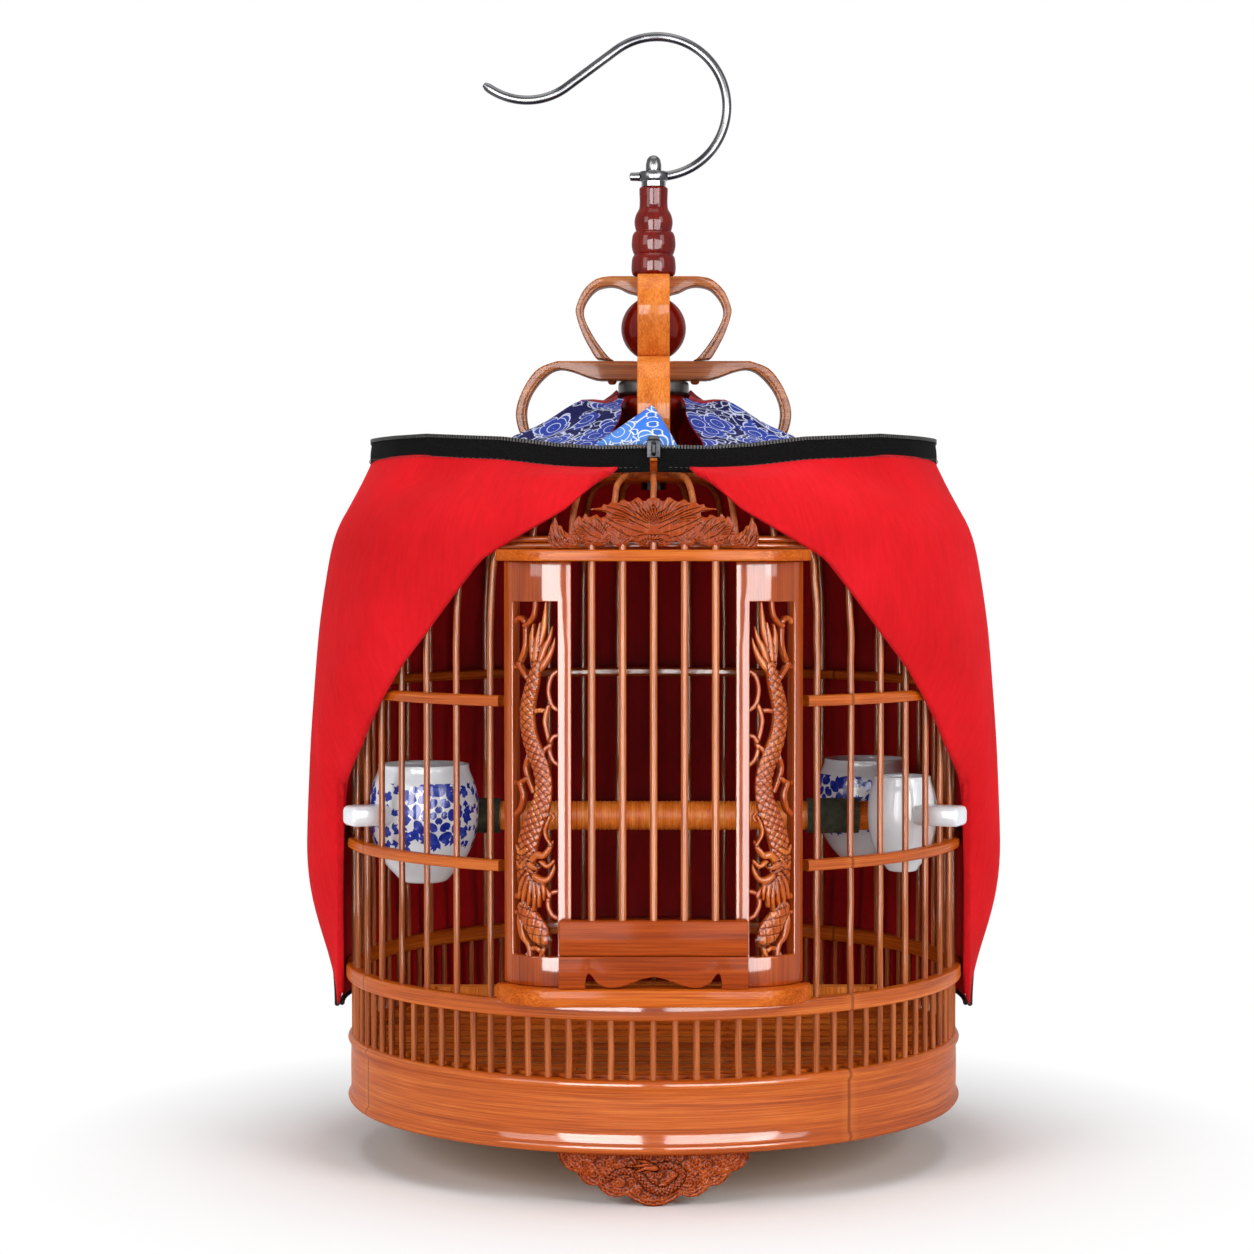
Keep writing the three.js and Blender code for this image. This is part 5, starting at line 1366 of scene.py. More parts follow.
# Crown
# Half of a tier's outer line and inner line, as shares of its reach and of its height
LOWER_OUTER = [(0.70, 1), (0.84, 0.925), (0.94, 0.75), (1, 0.53), (0.985, 0.34), (0.93, 0.2), (0.88, 0.1),
               (0.9, 0)]
LOWER_INNER = [(0.8, 0), (0.81, 0.1), (0.87, 0.22), (0.915, 0.36), (0.925, 0.53), (0.88, 0.7), (0.78, 0.86),
               (0.69, 0.92), (0.59, 0.9), (0.48, 0.845), (0.4, 0.813)]
UPPER_OUTER = [(0.55, 1), (0.73, 0.965), (0.89, 0.83), (0.98, 0.64), (0.98, 0.53), (0.9, 0.31), (0.76, 0.07),
               (0.71, 0.02)]
UPPER_INNER = [(0.5, 0), (0.58, 0.05), (0.76, 0.28), (0.885, 0.53), (0.86, 0.69), (0.73, 0.84),
               (0.57, 0.885), (0.44, 0.87), (0.32, 0.815), (0.2, 0.79)]
STRIP_WIDTH = 17
UPPER_REACH = 42.3
LOWER_REACH = 73.8


def build_tier(tier, reach, outer, inner):
    """Two bent strips that cross, each a ribbon between an outer and an inner line."""
    half = STRIP_WIDTH / 2
    steps = 44
    for way, material in (("across", strip_wood), ("front_to_back", strip_face)):
        node = f"{tier}_strip_{way}"
        low, high = extent(node)
        sunk = 0 if way == "front_to_back" else 0.25
        lines = []
        for rows in ([(0, outer[0][1])] + outer, [(0, inner[-1][1])] + inner[::-1]):
            shares = [rows[0]] + smooth(rows[1:], 5)
            curve = [(reach * across, lerp(low.z, high.z, up)) for across, up in shares]
            lines.append(both_halves(even(curve, steps)))
        points, faces = [], []
        for pair in zip(*lines):
            for x, z in pair:
                level = z - sunk if abs(x) < half + 1 else z
                for side in (-half, half):
                    points.append((x, side, level) if way == "across" else (-side, x, level))
        for k in range(2 * steps):
            a = 4 * k
            for i, j in ((0, 1), (1, 3), (3, 2), (2, 0)):
                faces.append([a + i, a + j, a + 4 + j, a + 4 + i])
        last = 8 * steps
        faces += [[0, 2, 3, 1], [last, last + 1, last + 3, last + 2]]
        make(f"{tier}_bow_{way}", (points, faces), material, replaces=[node], bevel=0.8, crisp=45)


# Turned pieces: shares of the largest radius and of the height
HANDLE_SHARES = [
    (0.80, 0), (0.95, 0.02), (1.0, 0.07), (1.0, 0.13), (0.97, 0.20), (0.90, 0.235), (0.88, 0.245),
    (0.93, 0.27), (0.99, 0.33), (0.99, 0.39), (0.95, 0.46), (0.86, 0.497), (0.80, 0.505), (0.82, 0.53),
    (0.86, 0.58), (0.86, 0.63), (0.80, 0.69), (0.70, 0.735), (0.645, 0.77), (0.63, 0.85), (0.645, 0.97),
    (0.62, 0.99), (0.56, 1),
]
NECK_SHARES = [(0.9, 0), (0.99, 0.05), (1, 0.1), (0.92, 0.18), (0.8, 0.24), (0.72, 0.36), (0.74, 0.52),
               (0.86, 0.66), (0.96, 0.78), (0.98, 0.86), (0.92, 0.95), (0.8, 1)]
COLLAR_SHARES = [(0.9, 0), (0.97, 0.08), (1, 0.25), (1, 0.75), (0.97, 0.92), (0.9, 1)]


# The two pegs that join the tiers: how far below the lower tier's top, how far out, and their profile
PEG_DROP = 10.3
PEG_OUT = 22.3
PEG_PROFILE = [(0, -2.2), (1.6, -1.9), (2.4, -0.8), (2.4, 1.5), (0, 1.5)]


def bored(profile):
    """A turned profile with the rod's bore along its axis."""
    return [(BORE_RADIUS, profile[0][1])] + profile + [(BORE_RADIUS, profile[-1][1])]


def build_turned_pieces():
    for name, node, shares, material in (("neck_turned", "neck_bead", NECK_SHARES, red_lacquer),
                                         ("collar_turned", "crown_collar", COLLAR_SHARES, black_wood),
                                         ("handle_turned", "handle", HANDLE_SHARES, red_lacquer)):
        low, high = extent(node)
        profile = [(high.x * out, lerp(low.z, high.z, up)) for out, up in smooth(shares, 3)]
        make(name, lathe(bored(profile), 72, closed=True), material, replaces=[node], crisp=50)
    radius = (ball_high.z - ball_low.z) / 2
    ball = arc(0, ball_low.z + radius, radius, -78, 78, 26)
    ball = [(BORE_RADIUS, ball_low.z + 0.25)] + ball + [(BORE_RADIUS, ball_high.z - 0.25)]
    make("ball_turned", lathe(ball, 72, closed=True), red_lacquer, replaces=["crown_ball"])


def build_crown():
    build_turned_pieces()
    build_tier("lower", LOWER_REACH, LOWER_OUTER, LOWER_INNER)
    build_tier("upper", UPPER_REACH, UPPER_OUTER, UPPER_INNER)
    pegs = Shape()
    level = extent("lower_strip_across")[1].z - PEG_DROP
    profile = [(radius, level + up) for radius, up in PEG_PROFILE]
    for side in (-1, 1):
        pegs.add(lathe(profile, 20, side * PEG_OUT))
    make("tier_pegs", pegs, bamboo_upright)


WIRE_RADIUS = 2.5
HOOK_RADIUS = 37.4
HOOK_RISE = 37.3
HOOK_SHIFT = 2
TIP_RADIUS = 36
TIP_OFFSET = 70
TIP_RISE = 39.5


# The eye that turns on the rod, and the wire's end beyond it
EYE_RADIUS = 8
EYE_HALF = 2.4
TAIL_END = -12.9
TAIL_RADII = [2.6, 2.5, 2.4, 2.3, 2.3, 2.2, 1.2]
NUT_RADIUS = 3.9


def hook_path():
    """The wire's middle: from the eye round the loop, and over into the curled tip."""
    loop = (HOOK_SHIFT, eye_level + HOOK_RISE)
    tip = (HOOK_SHIFT - TIP_OFFSET, eye_level + HOOK_RISE + TIP_RISE)
    lean = math.acos((HOOK_RADIUS + TIP_RADIUS) / math.hypot(TIP_OFFSET, TIP_RISE))
    leave = math.degrees(math.atan2(TIP_RISE, -TIP_OFFSET) - lean)
    line = arc(*loop, HOOK_RADIUS, -90 + math.degrees(0.08), leave, 59)
    line += arc(*tip, TIP_RADIUS, leave - 180, -0.72 * 180, 27)[1:]
    path = [(x, 0, z) for x, z in line]
    path[-1] = tuple(a + (a - b) * 0.15 for a, b in zip(path[-1], path[-2]))
    return path


def build_hook():
    """The bent wire, with the eye that turns on the rod."""
    path = hook_path()
    radii = [WIRE_RADIUS] * (len(path) - 2) + [WIRE_RADIUS * 0.92, WIRE_RADIUS * 0.55]
    shape = Shape().add(tube(path, radii, 20))
    low, high = eye_level - EYE_HALF, eye_level + EYE_HALF
    eye = [(EYE_RADIUS - 0.6, low), (EYE_RADIUS, low + 0.8)]
    eye += [(EYE_RADIUS, high - 0.8), (EYE_RADIUS - 0.6, high)]
    shape.add(lathe(bored(eye), 48, closed=True))
    tail = spread(-6, TAIL_END + 0.5, 6) + [TAIL_END]
    shape.add(tube([(x, 0, eye_level - 0.2) for x in tail], TAIL_RADII, 18))
    make("hook_wire", shape, steel, "hook", replaces=["hook"], crisp=50)


def build_nut():
    """The domed nut that closes the rod's end."""
    low, high = extent("hook_nut")
    rise = high.z - low.z
    collar = low.z + rise * 0.55
    nut = [(BORE_RADIUS, low.z), (4.0, low.z), (4.2, low.z + 0.5), (4.2, low.z + rise * 0.42)]
    nut.append((NUT_RADIUS, collar))
    dome = arc(0, 0, 1, 15, 75, 4)
    nut += [(NUT_RADIUS * out, collar + rise * 0.45 * up) for out, up in dome] + [(0, high.z)]
    make("domed_nut", lathe(nut, 40), steel, replaces=["hook_nut"], crisp=50, closed=False)


# Perch
THREAD_END = 112
THREAD_PITCH = 2.4
GRIT_START = 83
GRIT_END = 111.2
GRIT_THICKNESS = 1.45


def build_perch():
    """The perch: thread wound between its wooden ends, which carry grit sleeves."""
    level = (perch_low.z + perch_high.z) / 2
    radius = (perch_high.z - perch_low.z) / 2
    tip = perch_high.x

    def turned_along(rows, side=1, segments=48, closed=False):
        points, faces = lathe([(r, side * x) for r, x in rows], segments, closed=closed)
        return [(z, x, y + level) for x, y, z in points], faces

    count = int(2 * THREAD_END / THREAD_PITCH * 4)
    wound = [(radius - 0.22 + 0.2 * math.cos(2 * math.pi * x / THREAD_PITCH), x)
             for x in spread(-THREAD_END, THREAD_END, count + 1)]
    wound = [(0, -THREAD_END)] + wound + [(0, THREAD_END)]
    make("perch_thread", turned_along(wound), thread, replaces=["perch"], crisp=60)
    wood = radius - 0.1
    rows = [(0, THREAD_END - 1), (wood, THREAD_END - 1), (wood, 116.5), (wood - 1, 117), (wood - 1, 118.2),
            (wood, 118.8), (wood, tip - 1), (radius - 0.8, tip), (0, tip)]
    ends = Shape()
    for side in (-1, 1):
        ends.add(turned_along(rows, side))
    make("perch_ends", ends, bamboo_level, crisp=50)
    rows = [(radius + 0.1, GRIT_START), (radius + 1.3, GRIT_START + 0.2)]
    rows += [(radius + GRIT_THICKNESS, x) for x in spread(GRIT_START + 1.2, GRIT_END - 1.2, 20)]
    rows += [(radius + 1.3, GRIT_END - 0.2), (radius + 0.1, GRIT_END)]
    for name, side in (("left", -1), ("right", 1)):
        sleeve = turned_along(rows, side, 56, closed=True)
        make(f"grit_{name}", sleeve, grit, replaces=[f"perch_sleeve_{name}"], crisp=60)


# Cups
# A jar's outside from its foot up, as shares of its radius and of its height
CUP_SHARES = [(0.36, 0), (0.43, 0.015), (0.52, 0.06), (0.68, 0.14), (0.83, 0.25), (0.94, 0.38), (1, 0.55),
              (0.995, 0.7), (0.94, 0.83), (0.86, 0.92), (0.83, 0.965), (0.835, 1)]
CUP_WALL = 2.6
CUP_FLOOR = 5.2
LUG_LOW = 0.8
LUG_HIGH = 11.2
# Each jar's radius, its place and its lug's, as angles from the door, and how far its painting is turned
CUPS = [
    {"name": "cup_left", "side": -1, "radius": 28.6, "distance": 130.6, "angle": 67.5, "lug_angle": 63.75,
     "lug_reach": 176.5, "painting": 20},
    {"name": "cup_right_back", "side": 1, "radius": 27, "distance": 124, "angle": 109, "lug_angle": 108.75,
     "lug_reach": 165.8, "painting": -60},
    {"name": "cup_right_front", "side": 1, "radius": 18, "distance": 141, "angle": 67.5, "lug_angle": 63.75,
     "lug_reach": 178, "painting": None},
]
# A peony's rings of petals: how many, how far out, and a petal's length and width
PEONY_RINGS = [(4, 1.2, 3.6, 4.8), (6, 4.9, 4.6, 7.6), (9, 9.6, 4.8, 9.6)]
# Half of a leaf with three points, as shares of its width and length
LEAF_SHARES = [(0.35, 0.3), (0.5, 0.62), (0.2, 0.58)]


def petal(length, width, notch=0.18, count=7):
    """A petal's outline from its base at the origin along +Y."""
    side = []
    for k in range(count):
        t = k / (count - 1)
        side.append((width / 2 * math.sin(math.pi * min(t * 0.86 + 0.08, 1)) ** 0.7, length * t))
    tip = (0, length * (1 - notch))
    return [(-x, y) for x, y in side] + [tip] + side[::-1]


def leaf(length, width):
    """A leaf's outline with three points."""
    right = [(width * across, length * up) for across, up in LEAF_SHARES]
    return [(0, 0)] + [(-x, y) for x, y in right] + [(0, length)] + right[::-1]


def moved(outline, x, y, turn, size=1.0):
    sine, cosine = math.sin(math.radians(turn)), math.cos(math.radians(turn))
    return [(x + size * (px * cosine + py * sine), y + size * (py * cosine - px * sine))
            for px, py in outline]


def set_round(outline, x, y, turn, reach, size, lean=0.0, squash=1.0):
    """An outline set at a reach from x, y, on the side where turn points, and turned with it."""
    px = x + reach * math.sin(math.radians(turn))
    py = y + reach * math.cos(math.radians(turn)) * squash
    return moved(outline, px, py, turn + lean, size)


def peony(x, y, size):
    """A peony as separate brush strokes: rings of petals, and leaves round them."""
    strokes = []
    for ring, (count, reach, length, width) in enumerate(PEONY_RINGS):
        for k in range(count):
            turn = 360 * (k + 0.5 * ring) / count
            strokes.append(set_round(petal(length, width * 0.86), x, y, turn, size * reach, size))
    for k in range(14):
        turn = 360 * k / 14 + chance.uniform(-9, 9)
        reach = size * chance.uniform(14.4, 15.4)
        strokes.append(set_round(leaf(7.6, 7.4), x, y, turn, reach, size, chance.uniform(-30, 30), 0.8))
    return strokes


def sprig(x, y, size):
    """A small flower with three leaves."""
    strokes = [moved(petal(3.6, 3.4, 0.1), x, y, 90 * k + 20, size) for k in range(4)]
    return strokes + [set_round(leaf(5.6, 5.0), x, y, 120 * k + 60, 4.6 * size, size) for k in range(3)]


def build_cup(cup):
    """A porcelain jar, with its lug and its painting."""
    low, high = extent(cup["name"])
    radius = cup["radius"]
    x, y = around(cup["distance"], cup["side"] * cup["angle"])
    outer = [(radius * out, lerp(low.z, high.z, up)) for out, up in smooth(CUP_SHARES, 5)]
    inner = [(r - CUP_WALL, level) for r, level in outer if low.z + 7 < level < high.z - 1]
    mouth = outer[-1][0]
    profile = [(0, low.z + 0.8), (radius * 0.3, low.z + 0.8), (radius * 0.33, low.z)] + outer[1:-1]
    lip = [(0, -0.7), (0.5, 0), (1.3, 0.15), (2.1, 0)]
    profile += [(mouth - inward, high.z + up) for inward, up in lip]
    floor = low.z + CUP_FLOOR
    profile += inner[::-1] + [(inner[0][0] * 0.8, floor + 0.4), (inner[0][0] * 0.4, floor), (0, floor)]
    jar = lathe(profile, 96, x, y)
    make(f"{cup['name']}_jar", jar, porcelain, cup["name"], replaces=[cup["name"]], crisp=50)
    build_lug(cup, lerp(low.z, high.z, 0.5))
    if cup["painting"] is not None:
        paint_cup(cup, outer, x, y)


def build_lug(cup, middle):
    """The lug that holds a jar between two bars."""
    aside = cup["distance"] * math.sin(math.radians(cup["angle"] - cup["lug_angle"]))
    start = math.sqrt(cup["radius"] ** 2 - aside ** 2) + cup["distance"] - CUP_WALL - 1.5
    pitch = 2 * BAR_CIRCLE * math.sin(math.radians(BAR_ANGLE / 2))
    half = pitch / 2 - BAR_RADIUS - CAD_GAP - 1
    points, faces = block((-half, -cup["lug_reach"], middle + LUG_LOW), (half, -start, middle + LUG_HIGH))
    turn = Matrix.Rotation(math.radians(cup["side"] * cup["lug_angle"]), 3, "Z")
    lug = [turn @ Vector(p) for p in points], faces
    make(f"{cup['name']}_lug", lug, porcelain, cup["name"], bevel=2.8, crisp=40)


def painted_strokes(length):
    """The painting of a jar, laid out flat along the length of its girth, about its middle line."""
    strokes = []
    for k in range(3):
        here = k * length / 3
        strokes += peony(here, 0, 1.0)
        for step in range(9):
            px = here + length * lerp(0.1, 0.235, step % 3 / 2) + chance.uniform(-1.5, 1.5)
            py = (step // 3 - 1) * 9.5 + chance.uniform(-2, 2)
            strokes += sprig(px, py, chance.uniform(0.7, 0.95))
    for k in range(48):
        side = 1 if k % 2 else -1
        strokes.append(moved(leaf(5.6, 4.8), k * length / 48, side * chance.uniform(13.5, 15.5),
                             chance.uniform(0, 360)))
    return strokes


def paint_cup(cup, outer, x, y):
    """Blue glaze strokes laid on the jar's side."""
    radius = cup["radius"]
    by_level = [(level, r) for r, level in outer]
    low, high = outer[0][1], outer[-1][1]
    middle = lerp(low, high, 0.6)
    lowest, highest = (low - high) * 0.34, (high - low) * 0.26
    shape = Shape()

    def place(px, py):
        level = middle + py
        dx, dy = around(between(by_level, level) + 0.06, cup["painting"] + math.degrees(px / radius))
        return x + dx, y + dy, level

    for stroke in painted_strokes(2 * math.pi * radius):
        stroke = [(px, min(max(py, lowest), highest)) for px, py in stroke]
        count = len(stroke)
        cx = sum(p[0] for p in stroke) / count
        cy = sum(p[1] for p in stroke) / count
        points = [place(cx, cy)]
        for share in (0.55, 1):
            points += [place(lerp(cx, px, share), lerp(cy, py, share)) for px, py in stroke]
        faces = []
        for i in range(count):
            j = (i + 1) % count
            faces.append([0, 1 + i, 1 + j])
            faces.append([1 + i, 1 + count + i, 1 + count + j, 1 + j])
        shape.add((points, faces))
    make(f"{cup['name']}_flowers", shape, blue_glaze, cup["name"], closed=False, crisp=180)


# Cover: a body draped over the cage, and two flaps that its zip holds and that are folded back
CLOTH = 1.2
CLOTH_INNER = RING_OUTER + 1.4
COVER_HEM = 62
COVER_HEM_RISE = 17
FLAP_HEM = 79
FLAP_HEM_RISE = 38
FLAP_REACH = 192.5
FLAP_GAP = 2.2
FLAP_UNDER_TAPE = 2.4
FLAP_WAVE = 1.3
ZIP_WIDTH = 12
ZIP_FRONT = 113
ZIP_SIDE = 151
ZIP_RISE = 10
COLLAR_LOW = extent("crown_collar")[0].z
BEND_LEVEL = SHOULDER_LEVEL - BEND_DROP
FLAP_START = 9
FLAP_END = 130
ZIP_START = math.degrees(math.asin(1.8 / ZIP_FRONT))
PIPING_RADIUS = 1.5


def on_side(points, side):
    """The same points, mirrored for the left where side is -1."""
    return [(side * x, y, z) for x, y, z in points]


def cover_line():
    """The cloth's line down the cage as (radius, level), from the neck to the bend of the wall."""
    dome = dome_line()
    lift = BAR_RADIUS + 1.2
    radius = top_high.x
    return [
        (21.6, COLLAR_LOW - 3.2),
        (radius * 0.62, lerp(top_high.z, COLLAR_LOW, 0.45) + 0.6),
        (radius, top_high.z + 2.0),
        ((radius + dome[2][0]) / 2, RIB_TOP_LEVEL + lift),
        (dome[2][0] + 1, dome[2][1] + lift + 0.8),
        (dome[1][0] + lift + 0.8, dome[1][1] + lift),
        (hoop_high.x + 1.6, hoop_high.z + 2),
        (hoop_high.x + 2.4, hoop_low.z - 4),
        (CLOTH_INNER, BEND_LEVEL),
    ]


# How many degrees the body's edge is tucked under the flap's fold
TUCK = 6
# How many degrees from the door each row of the cover line starts
OPENING_ANGLES = [38, 16, 13.5, 9.5, 11.5, 15.5, 23, 31, 44]
# The same edge lower down the wall, as (share of the height from the hem to the bend, angle)
WALL_FOLD_SHARES = [(0, 84), (0.15, 81), (0.3, 79), (0.48, 77), (0.637, 73.5), (0.688, 68.5), (0.74, 63.5),
                    (0.84, 56.5), (0.935, 49.5), (1, 44)]


def wall_fold(level):
    """The angle from the door where the wall's cloth is folded back, at a level."""
    return between(WALL_FOLD_SHARES, (level - COVER_HEM) / (BEND_LEVEL - COVER_HEM))


def front_share(angle):
    """1 at the door, 0 at the sides and -1 at the back."""
    return math.cos(math.radians(angle))


def back_bulge(radius, angle, level):
    """How far the cloth hangs off the bars at the back, level with the bay in front."""
    rise = min(max((level - COVER_HEM) / (BEND_LEVEL - COVER_HEM), 0), 1)
    behind = max(-front_share(angle), 0)
    return (-sill_low.y - 2.4 - radius) * behind * behind * easing(min(rise, 1 - rise) * 2.5)


def ripple(angle, level):
    """Shallow upright folds of the hanging cloth, from 0 outwards."""
    slow = math.sin(math.radians(angle * 5 + 20)) + 0.6 * math.sin(math.radians(angle * 11 + level * 0.25))
    return 0.45 * (1.6 + slow) / 2


def body_rows():
    """The body's rows from the neck to the hem: the radius, the level and the angle where each starts."""
    upper = [(radius, level, edge) for (radius, level), edge in zip(cover_line(), OPENING_ANGLES)]
    rows = smooth(upper, 5)
    for level in spread(BEND_LEVEL, COVER_HEM, 34)[1:]:
        rows.append((CLOTH_INNER, level, wall_fold(level)))
    return rows


# The cuts in the roof for the bows' feet: half their width, how far out they go and how far they taper
SLIT_HALF = 9.6
SLIT_REACH = 76
SLIT_TAPER = 6


def slit_angle(radius):
    """Half the angle that the cut for a bow's foot takes at a radius."""
    if radius >= SLIT_REACH:
        return 0.0
    taper = math.sqrt(min((SLIT_REACH - radius) / SLIT_TAPER, 1))
    return math.degrees(math.asin(min(SLIT_HALF * taper / radius, 0.62)))


def hem_level(angle):
    """The body's hem, which hangs lower at the back."""
    return COVER_HEM + COVER_HEM_RISE * easing((front_share(angle) + 0.5) / 0.35)


# Where the roof's cloth stands up: how high, and the radii where it starts, is full, starts to fall and ends
BACK_SWELL = (9.0, -2, -1, 16, 50)
FRONT_SWELL = (9.5, 22, 48, 74, 104)
SIDE_SWELL = (6.5, 24, 42, 74, 98)


def swell(radius, sizes):
    """How high a swell of the roof's cloth is at a radius."""
    height, start, full, fall, end = sizes
    return height * easing((radius - start) / (full - start)) * easing((end - radius) / (end - fall))


def body_point(radius, level, angle):
    """A point of the body's cloth, with the folds of its wall and the rise of its roof."""
    if level < BEND_LEVEL:
        level = lerp(BEND_LEVEL, hem_level(angle), (BEND_LEVEL - level) / (BEND_LEVEL - COVER_HEM))
    lift = ripple(angle, level) * easing((SHOULDER_LEVEL - level) / 40)
    reach = radius + back_bulge(radius, angle, level) + lift
    rise = max(-front_share(angle), 0) * swell(radius, BACK_SWELL)
    rise += easing(front_share(angle) / 0.45) * swell(radius, FRONT_SWELL)
    rise += easing((abs(math.sin(math.radians(angle))) - 0.8) / 0.16) * swell(radius, SIDE_SWELL)
    return (*around(reach, angle), level + rise)


def build_cover_body():
    shape = Shape()
    rows = body_rows()
    columns = 44
    for quarter in range(4):
        points = []
        for radius, level, edge in rows:
            first = 90 * quarter + slit_angle(radius)
            last = 90 * (quarter + 1) - slit_angle(radius)
            if quarter == 0:
                first = edge + TUCK
            if quarter == 3:
                last = 360 - edge - TUCK
            points += [body_point(radius, level, angle) for angle in spread(first, last, columns + 1)]
        shape.add((points, grid_faces(columns, len(rows) - 1)))
    # The inside of the body takes the darker lining as painted shade
    item = make("cover_cloth", shape, [shaded_lining, blue_print], replaces=["cover_body"], closed=False,
                crisp=70)
    work = bmesh.new()
    work.from_mesh(item.data)
    bmesh.ops.remove_doubles(work, verts=work.verts, dist=0.02 * MM)
    work.to_mesh(item.data)
    work.free()
    thicken(item, CLOTH, toward_axis=False)
    return item


def thicken(item, thickness, toward_axis):
    """Gives an open sheet its thickness. Its own faces keep the first material, and the new side takes the
    last."""
    work = bmesh.new()
    work.from_mesh(item.data)
    work.faces.ensure_lookup_table()
    total = 0.0
    for face in work.faces:
        centre = face.calc_center_median()
        total += face.normal.dot(Vector((centre.x, centre.y, 0.05)).normalized()) * face.calc_area()
    if total * (1 if toward_axis else -1) < 0:
        bmesh.ops.reverse_faces(work, faces=work.faces)
    work.to_mesh(item.data)
    work.free()
    solid = item.modifiers.new("thickness", "SOLIDIFY")
    solid.thickness = thickness * MM
    solid.offset = -1
    solid.material_offset = 1
    solid.material_offset_rim = 0
    apply_modifiers(item)
    item.data.shade_smooth()


# The zip's way round: angles, with shares of its way out from the front and of its rise
ZIP_RADIUS_SHARES = [(0, 0), (10, 0.03), (25, 0.22), (45, 0.62), (65, 0.9), (90, 1), (140, 1)]
ZIP_LEVEL_SHARES = [(0, 0.32), (14, 0.26), (24, 0.38), (36, 0.74), (55, 1), (88, 0.85), (120, -0.2),
                    (140, -1.4)]
ZIP_BASE = RIB_TOP_LEVEL + BAR_RADIUS + ZIP_WIDTH / 2 - 2.9
# How far a flap stands off the wall, from its hem up to the zip
BULGE_SHARES = [(0, 0), (0.05, 0.14), (0.10, 0.42), (0.17, 0.8), (0.25, 1), (0.4, 0.85), (0.55, 0.6),
                (0.75, 0.4), (0.9, 0.25), (1, 0)]
# A flap's turned edges where it is folded and along its hem: how far beyond the edge, and how far inward
FOLD_TURN = [(0.9, 0.7), (1.3, 1.9), (0.9, 3.0), (-0.4, 3.7), (-5.0, 3.9)]
HEM_TURN = [(0.2, 0.4), (0.2, 0.8), (0, 1.1), (-1.5, 1.2), (-4.0, 1.2)]


def zip_point(angle):
    """The middle of the zip tape at an angle, as (radius, level)."""
    radius = lerp(ZIP_FRONT, ZIP_SIDE, between(ZIP_RADIUS_SHARES, angle))
    return radius, ZIP_BASE + ZIP_RISE * (between(ZIP_LEVEL_SHARES, angle) - 0.1)


def outside_line():
    """The line that a flap lies along where it is not held off: just outside the body's cloth."""
    line = cover_line() + [(CLOTH_INNER, level) for level in spread(BEND_LEVEL, FLAP_HEM - 4, 16)[1:]]
    gap = CLOTH + FLAP_GAP
    made = []
    for i, (radius, level) in enumerate(line):
        r0, z0 = line[max(i - 1, 0)]
        r1, z1 = line[min(i + 1, len(line) - 1)]
        run = math.hypot(r1 - r0, z1 - z0)
        made.append((radius + gap * (z0 - z1) / run, level + gap * (r1 - r0) / run))
    return made


def flap_hem(angle):
    """The flap's hem rises from its front corner towards the back."""
    return FLAP_HEM + FLAP_HEM_RISE * easing((angle - 83) / 22)


def flap_low(angle):
    """The level of the flap's lower edge: its fold, or its hem where the fold is below that."""
    edge = [(fold, lerp(COVER_HEM, BEND_LEVEL, share)) for share, fold in WALL_FOLD_SHARES]
    edge += [(fold, cover_line()[i + 3][1]) for i, fold in enumerate(OPENING_ANGLES[3:8])]
    below_zip = zip_point(angle)[1] - ZIP_WIDTH / 2 - 1.5
    return min(max(between(sorted(edge), angle), flap_hem(angle)), below_zip)


def flap_line(angle):
    """The flap's line at one angle as (radius, level), from under the zip tape to its fold or hem."""
    zip_radius, zip_level = zip_point(angle)
    top = zip_level - ZIP_WIDTH / 2 + FLAP_UNDER_TAPE
    low = flap_low(angle)
    line = outside_line()
    by_level = [(level, radius) for radius, level in line[::-1]]
    below = [(radius, level) for radius, level in line if radius > zip_radius and low < level < top - 2.7]
    points = [(zip_radius + 0.4, top)] + below + [(max(between(by_level, low), zip_radius), low)]
    made = []
    for radius, level in points:
        rise = (level - FLAP_HEM) / (top - FLAP_HEM)
        side = easing((angle - wall_fold(level) + 2) / 14)
        bulge = FLAP_REACH - 2.6 - between(by_level, FLAP_HEM)
        made.append((radius + bulge * between(BULGE_SHARES, rise) * side, level))
    return made


def relax(points, columns, rows, rounds):
    """Evens out a grid of points, holding its four edges."""
    for _ in range(rounds):
        before = [Vector(p) for p in points]
        for row in range(1, rows):
            for column in range(1, columns):
                i = row * (columns + 1) + column
                near = before[i - 1] + before[i + 1] + before[i - columns - 1] + before[i + columns + 1]
                points[i] = lerp(before[i], near / 4, 0.6)
    return points


